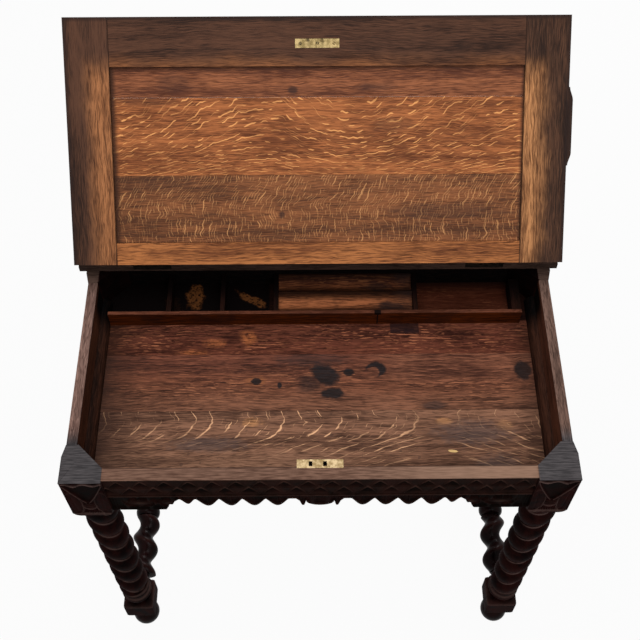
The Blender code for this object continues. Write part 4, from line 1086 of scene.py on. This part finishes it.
def apron_carving(x, d):
    """Relief of the apron at places across (x) and down (d): its lift, and how rubbed it is, with painted
    shade in the pockets below the scales.
    """
    lift, rub_and_light = apron_scales(x, d)

    # Plain fillet along the top, and a half-round band under the scales
    lift = np.where(d < 0.0070, 1.0, lift)
    lift = np.where((d > 0.0070) & (d < 0.0085), 0.5, lift)
    lift = np.where((d > 0.0590) & (d < 0.0615), 0.35, lift)
    band = (d >= 0.0615) & (d < EDGE_DROP)
    lift = np.where(band, 0.75 + 0.25 * ridge(d - 0.0652, 0.003), lift)
    rub_and_light = np.where(band, 0.3 * ridge(d - 0.0645, 0.0016), rub_and_light)

    # Scalloped edge: each lobe a hollow leaf with a rim and a middle rib
    hang = apron_drop(x) - d
    lobe = (np.abs(x) - LOBES_START) / SCALE_PITCH - 0.5
    lobe = np.abs(lobe - np.round(lobe))
    low = d >= EDGE_DROP
    leaf = 0.92 - 0.70 * np.clip((hang - 0.0022) / 0.004, 0, 1) * np.clip((0.46 - lobe) / 0.12, 0, 1)
    leaf = np.maximum(leaf, 0.75 * ridge(lobe, 0.05))
    lift = np.where(low, leaf, lift)
    rub_and_light = np.where(low, 0.35 * ridge(hang - 0.0022, 0.0012), rub_and_light)
    ear = low & (np.abs(x) > EAR_CARVED)
    rub_and_light = np.where(ear, 0.3 * ridge(hang - 0.0015, 0.0012) - 0.7, rub_and_light)
    return apron_ears(x, d, ear, lift, rub_and_light)


def box_mesh(name, centre, size):
    """A plain box."""
    ends = ((-1, -1), (1, -1), (1, 1), (-1, 1))
    corners = [Vector(centre) + Vector((a, b, c)) * Vector(size) / 2 for c in (-1, 1) for a, b in ends]
    sides = [(0, 3, 2, 1), (4, 5, 6, 7), (0, 1, 5, 4), (1, 2, 6, 5), (2, 3, 7, 6), (3, 0, 4, 7)]
    return new_mesh(name, corners, sides)


def cut_from(mesh, boxes):
    """The mesh with boxes (name, centre, size) cut out of it."""
    scratch = add_object("uncut", mesh)
    cutters = [add_object(name, box_mesh(name, centre, size)) for name, centre, size in boxes]
    for cutter in cutters:
        cut = scratch.modifiers.new(cutter.name, "BOOLEAN")
        cut.operation = "DIFFERENCE"
        cut.solver = "EXACT"
        cut.object = cutter
    depsgraph = bpy.context.evaluated_depsgraph_get()
    result = bpy.data.meshes.new_from_object(scratch.evaluated_get(depsgraph))
    for spent in cutters + [scratch]:
        bpy.data.objects.remove(spent)
    return result


def rail_mesh():
    """The carved rail before its pocket and keyhole are cut."""
    columns = np.unique([*np.linspace(-RAIL_HALF, RAIL_HALF, 681), -LUNETTE_HALF, LUNETTE_HALF])
    hang = apron_drop(columns)
    upper = np.array([0.0, RAIL_ARRIS, *np.linspace(0.0016, BAND_DROP, 54)])
    lower = np.linspace(0.0, 1.0, 21)[1:]
    rows = len(upper) + len(lower)
    x = np.repeat(columns[:, None], rows, axis=1)
    plain = np.repeat(upper[None, :], len(columns), axis=0)
    scalloped = BAND_DROP + (hang[:, None] - BAND_DROP) * lower[None, :]
    d = np.concatenate([plain, scalloped], axis=1)
    sink = CARVING_DEPTH * (1 - apron_carving(x, d)[0])
    sink[:, 0] = RAIL_ARRIS
    points = list(np.stack([TABLE_X + x, TABLE_Y + sink, CASE_TOP - d], axis=2).reshape(-1, 3))
    base = len(points)
    for place, drop in zip(columns, hang):
        points.append((TABLE_X + place, TABLE_Y + RAIL_THICKNESS, CASE_TOP))
        points.append((TABLE_X + place, TABLE_Y + RAIL_THICKNESS, CASE_TOP - drop))
    faces = []
    for column in range(len(columns) - 1):
        here = column * rows
        after = here + rows
        for row in range(rows - 1):
            faces.append((here + row, here + row + 1, after + row + 1, after + row))
        rear = base + 2 * column
        faces.append((rear, rear + 2, rear + 3, rear + 1))
        faces.append((here, after, rear + 2, rear))
        faces.append((here + rows - 1, rear + 1, rear + 3, after + rows - 1))
    last = (len(columns) - 1) * rows
    rear_last = base + 2 * (len(columns) - 1)
    faces.append((*range(rows - 1, -1, -1), base, base + 1))
    faces.append((*range(last, last + rows), rear_last + 1, rear_last))
    return new_mesh("uncut_rail", points, faces)


def add_front_rail(name, material):
    """Front rail with its carved apron, pocketed for the lock plate and bored for the key."""
    pocket = ("plate_pocket", (TABLE_X, TABLE_Y + 0.0297, CASE_TOP), (0.0756, 0.020, 0.0052))
    bore = ("key_bore", (TABLE_X, TABLE_Y + 0.011, CASE_TOP - 0.022), (0.0054, 0.060, 0.0054))
    slot = ("key_slot", (TABLE_X, TABLE_Y + 0.011, CASE_TOP - 0.0275), (0.0030, 0.060, 0.011))
    cut = cut_from(rail_mesh(), [pocket, bore, slot])
    spots = np.array([vert.co for vert in cut.vertices])
    # Rub values of the carving: wear, painted highlights and painted shade
    worn = apron_carving(spots[:, 0] - TABLE_X, CASE_TOP - spots[:, 2])[1]
    worn = np.where(spots[:, 1] < TABLE_Y + 0.010, worn, 0.0)
    faces = [face.vertices for face in cut.polygons]
    add_piece(name, "carved", spots, faces, worn, material, 50)


def node_reach(name, axis):
    """The span of a CAD node along an axis."""
    places = [Vector(axis).dot(vert.co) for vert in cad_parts[name].data.vertices]
    return min(places), max(places)


def add_screw(name, centre, radius, angle, material, body):
    """A slotted screw head on the lid's face: two half-rounds with the slot between them."""
    points = []
    faces = []
    slot = radius * 0.16
    start = math.asin(slot / radius)
    arc = [start + (math.pi - 2 * start) * step / 12 for step in range(13)]
    levels = ((-0.0006, 1.0), (0.0002, 1.0), (0.0004, 0.9))
    for half in (-1, 1):
        block = ring_faces(len(levels), len(arc), len(points))
        faces += block if half > 0 else flipped(block)
        for lift, grow in levels:
            for turn in arc:
                a = radius * grow * math.cos(turn)
                b = half * max(slot, radius * grow * math.sin(turn))
                across = a * math.cos(angle) - b * math.sin(angle)
                up = a * math.sin(angle) + b * math.cos(angle)
                flat = Vector(AXIS_X) * across + Vector(LID_UP) * up
                points.append(centre + flat + Vector(LID_FACE) * lift)
    mesh = new_mesh(name, points, faces)
    mesh.materials.append(material)
    screw = add_object(name, mesh)
    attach(screw, body)


def add_lamp(name, place, aim, size, power):
    """A soft studio lamp."""
    lamp = bpy.data.lights.new(name, "AREA")
    lamp.shape = "RECTANGLE"
    lamp.size, lamp.size_y = size
    lamp.energy = power
    stand = add_object(name, lamp)
    stand.location = place
    stand.rotation_euler = (Vector(aim) - Vector(place)).to_track_quat("-Z", "Y").to_euler()


# Camera, set up as the photograph was taken
camera = add_object("camera", bpy.data.cameras.new("camera"))
camera.data.lens = 59.06
camera.data.sensor_width = 36.0
camera.data.clip_end = 50.0
camera.location = (TABLE_X - 0.0057, TABLE_Y - 0.6927, 2.3315)
camera.rotation_euler = Euler((math.radians(90 - 57.2), 0.0, math.radians(-0.443)), "XYZ")
bpy.context.scene.camera = camera
bpy.context.scene.view_settings.view_transform = "Standard"

# Floor: pale where it is seen, dim in what it lights
floor_corners = [(-9, -9, 0), (9, -9, 0), (9, 9, 0), (-9, 9, 0)]
studio_floor = add_object("studio_floor", new_mesh("studio_floor", floor_corners, [(0, 1, 2, 3)]))
paper = Finish("white_paper")
paper.set(Base_Color=dye(150, 150, 150), Roughness=0.95, Specular_IOR_Level=0.0)
glow = paper.node("ShaderNodeEmission", None, {"Color": WHITE, "Strength": 1.0})
sheet = Tone(paper, paper.shader.outputs[0])
veil = paper.node("ShaderNodeMixShader", None, {0: paper.in_view() * 0.955, 1: sheet, 2: glow})
paper.feed(paper.tree.nodes["Material Output"].inputs["Surface"], veil)
studio_floor.data.materials.append(paper.material)

# Background and lamps
bpy.context.scene.world = bpy.data.worlds.new("studio")
studio = Finish("studio", bpy.context.scene.world)
dim = studio.node("ShaderNodeBackground", None, {"Color": WHITE, "Strength": 0.22})
bright = studio.node("ShaderNodeBackground", None, {"Color": WHITE, "Strength": 0.98})
wall = studio.node("ShaderNodeMixShader", None, {0: studio.in_view(), 1: dim, 2: bright})
studio.feed(studio.tree.nodes["World Output"].inputs["Surface"], wall)
add_lamp("ceiling_lamp", (-0.3, 0.1, 3.3), (0.0, -0.1, 0.8), (2.0, 1.6), 64)
add_lamp("window_lamp", (0.5, -2.0, 2.8), (0.0, 0.0, 0.8), (1.3, 1.1), 40)
add_lamp("rear_lamp", (0.7, 2.9, 1.9), (0.0, 0.2, 0.7), (1.6, 1.2), 75)

# Dark oak, brass and iron
# Dark oak tones: deep, warm, and a rubbed tone that also paints highlights
dark_tones = (dye(7, 3, 3), dye(36, 14, 12), dye(94, 74, 69))
glossy_tones = (dye(5, 2, 2), dye(28, 10, 9), dye(54, 27, 23))
carved_tones = (dye(7, 3, 2), dye(31, 14, 11), dye(80, 56, 48))
turned = carved_oak("dark turned oak", dark_tones, PAINTED_SHEEN_TOP, 0.50, 0.006)
rear = carved_oak("dark rear oak", dark_tones, SHADED_REAR_TOP, 0.50, 0.006, REAR_COVER)
glossy = carved_oak("glossy turned oak", glossy_tones, PAINTED_SHEEN_TOP, 0.20, 0.04)
carved = carved_oak("dark carved oak", carved_tones, BROWN_TOP, 0.60, 0.01)
plate_brass = aged_brass("plate brass", AXIS_Z, CASE_TOP - 0.0003, (dye(104, 85, 52), dye(160, 140, 106)))
keeper_brass = aged_brass("keeper brass", LID_FACE, KEEPER_FACE, (dye(97, 81, 46), dye(147, 127, 86)))
# Darker brass for the hooks and screws: dull, with painted shade for the hooks' shadows and the screws'
# recesses
dull_shaded_brass = aged_brass("dull shaded brass", LID_FACE, KEEPER_FACE, (dye(46, 37, 17), dye(84, 67, 33)))
iron = dark_iron("dark iron")

# The lid's panel: tones of each board, then its smudges as (centre, size, depth)
plain_tones = (dye(75, 40, 26), dye(140, 85, 55), dye(170, 110, 68))
plain_smudges = (
    ((-0.0417, 0.2998), (0.008, 0.006), 0.8),
    ((-0.245, 0.312), (0.03, 0.016), 0.35),
    ((0.10, 0.305), (0.03, 0.007), 0.45),
)
bold_tones = (dye(91, 49, 27), dye(160, 96, 55), dye(216, 150, 90))
bold_smudges = (
    ((0.13, 0.24), (0.035, 0.012), 0.35),
    ((-0.30, 0.282), (0.06, 0.008), 0.3),
)
close_tones = (dye(70, 42, 27), dye(128, 79, 48), dye(200, 144, 92))
close_smudges = (
    ((-0.0632, 0.0868), (0.005, 0.006), 0.8),
    ((0.22, 0.092), (0.10, 0.012), 0.45),
    ((-0.28, 0.142), (0.08, 0.012), 0.3),
)
plain_panel = panel_oak("panel oak plain", plain_tones, plain_figure, 0.5, 3.1, plain_smudges)
bold_panel = panel_oak("panel oak bold figure", bold_tones, bold_figure, 0.85, 7.7, bold_smudges)
close_panel = panel_oak("panel oak close figure", close_tones, close_figure, 0.66, 12.3, close_smudges)
paint("lid_panel_top", plain_panel)
paint("lid_panel_middle", bold_panel)
paint("lid_panel_bottom", close_panel)

# The lid's frame and the fixed board behind it
rail_tones = (dye(92, 51, 29), dye(164, 103, 59), dye(27, 17, 13))
stile_tones = (dye(86, 51, 30), dye(158, 104, 66), dye(27, 18, 15))
pale_tones = (dye(100, 63, 38), dye(181, 126, 81), dye(27, 18, 15))
# The fixed board's tones are dark as painted shade
board_tones = (dye(14, 8, 6), dye(36, 20, 15))
lid_rail = frame_oak("lid rail oak", AXIS_X, LID_UP, rail_tones, 0.4)
lid_stile = frame_oak("lid stile oak", LID_UP, AXIS_X, stile_tones, 2.2)
pale_stile = frame_oak("lid stile oak pale", LID_UP, AXIS_X, pale_tones, 4.6)
top_board = case_oak("top board oak", AXIS_X, AXIS_Y, AXIS_Z, board_tones, board_tones, 5.0)
dress(lid_rail, ["lid_lock_rail", "lid_hinge_rail"])
dress(lid_stile, ["lid_stile_left"])
dress(pale_stile, ["lid_stile_right", "lid_edge_strip"])
dress(top_board, ["fixed_top_board"])

# Case
left_tones = (dye(36, 18, 12), dye(74, 43, 30))
right_tones = (dye(44, 24, 17), dye(90, 54, 40))
long_tones = (dye(30, 14, 10), dye(64, 35, 25))
short_tones = (dye(21, 11, 8), dye(54, 31, 22))
worn = (dye(88, 66, 59), dye(132, 104, 94))
right_worn = (dye(66, 50, 43), dye(106, 82, 72))
left_wall = case_oak("left wall oak", AXIS_Y, AXIS_Z, AXIS_X, left_tones, worn, 1.0)
right_wall = case_oak("right wall oak", AXIS_Y, AXIS_Z, AXIS_X, right_tones, right_worn, 2.0)
case_long = case_oak("case oak long", AXIS_X, AXIS_Z, AXIS_Y, long_tones, worn)
case_short = case_oak("case oak short", AXIS_Y, AXIS_Z, AXIS_X, short_tones, worn)
dress(left_wall, ["side_board_left"])
dress(right_wall, ["side_board_right"])
dress(case_long, ["back_board", "floor_cleat_front", "floor_cleat_back"])
for side_name in ("left", "right"):
    dress(case_short, ["floor_cleat_" + side_name, "well_fillet_" + side_name], 0.0005)

# Floor boards
front_tones = (dye(64, 41, 30), dye(124, 87, 67), dye(214, 164, 124))
middle_tones = (dye(42, 20, 14), dye(108, 64, 45), dye(168, 108, 76))
back_tones = (dye(36, 16, 12), dye(92, 50, 37), dye(160, 98, 68))
front_floor = floor_oak("floor oak figured", front_tones, arched_figure, 0.85, front_wear, 1.7)
middle_floor = floor_oak("floor oak plain", middle_tones, thready_figure, 0.75, ink_spills, 5.2)
back_floor = floor_oak("floor oak red", back_tones, thready_figure, 0.75, tray_floor, 9.4, 0.015)
dress(front_floor, ["floor_board_front"], 0.0006)
dress(middle_floor, ["floor_board_middle"], 0.0006)
dress(back_floor, ["floor_board_back"], 0.0006)

# Tray
strip_tones = (dye(37, 13, 3), dye(80, 33, 8))
divider_tones = (dye(11, 5, 3), dye(30, 13, 9))
pen_tones = (dye(46, 21, 13), dye(138, 82, 51))
tray_strip = tray_oak("tray oak long", AXIS_X, AXIS_Z, AXIS_Y, strip_tones, strip_seam)
divider = tray_oak("tray oak cross", AXIS_Y, AXIS_Z, AXIS_X, divider_tones, divider_ink_and_shade, 4.0)
pen_tray = tray_oak("pen tray oak", AXIS_X, AXIS_Y, AXIS_Z, pen_tones, pen_grooves, 6.0)
dress(tray_strip, ["tray_strip_left", "tray_strip_right"])
dress(pen_tray, ["pen_tray"])
dress(divider, ["tray_divider_" + str(number) for number in range(1, 5)] + ["tray_end_block"])

# Lock and hinges
dress(plate_brass, ["lock_plate"], 0.0002)
dress(keeper_brass, ["lock_keeper"], 0.0003)
dress(dull_shaded_brass, ["keeper_hook_left", "keeper_hook_right"], 0.0003)
ironwork = ("hinge_", "lock_case", "lock_bolt")
dress(iron, [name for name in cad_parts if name.startswith(ironwork)], 0.0003)

# Finer carved and turned pieces
add_front_rail("front_rail", carved)
for end_name, end in (("front", -1), ("rear", 1)):
    for side_name, side in (("left", -1), ("right", 1)):
        add_leg("leg_" + end_name + "_" + side_name, side, end, turned if end < 0 else rear)
        add_foot("foot_" + end_name + "_" + side_name, side, end, glossy)
add_stretcher("stretcher_left", -1, glossy)
add_stretcher("stretcher_right", 1, glossy)

# Screws of the keeper
keeper_x = sum(node_reach("lock_keeper", AXIS_X)) / 2
keeper_up = sum(node_reach("lock_keeper", LID_UP)) / 2
keeper_face = node_reach("lock_keeper", LID_FACE)[1]
keeper_middle = Vector(AXIS_X) * keeper_x + Vector(LID_UP) * keeper_up + Vector(LID_FACE) * keeper_face
for number, (shift, angle) in enumerate(((-0.0285, 0.4), (0.0005, 1.3), (0.0285, -0.5))):
    centre = keeper_middle + Vector(AXIS_X) * shift
    add_screw("keeper_screw_" + str(number + 1), centre, 0.0027, angle, dull_shaded_brass, "lid")
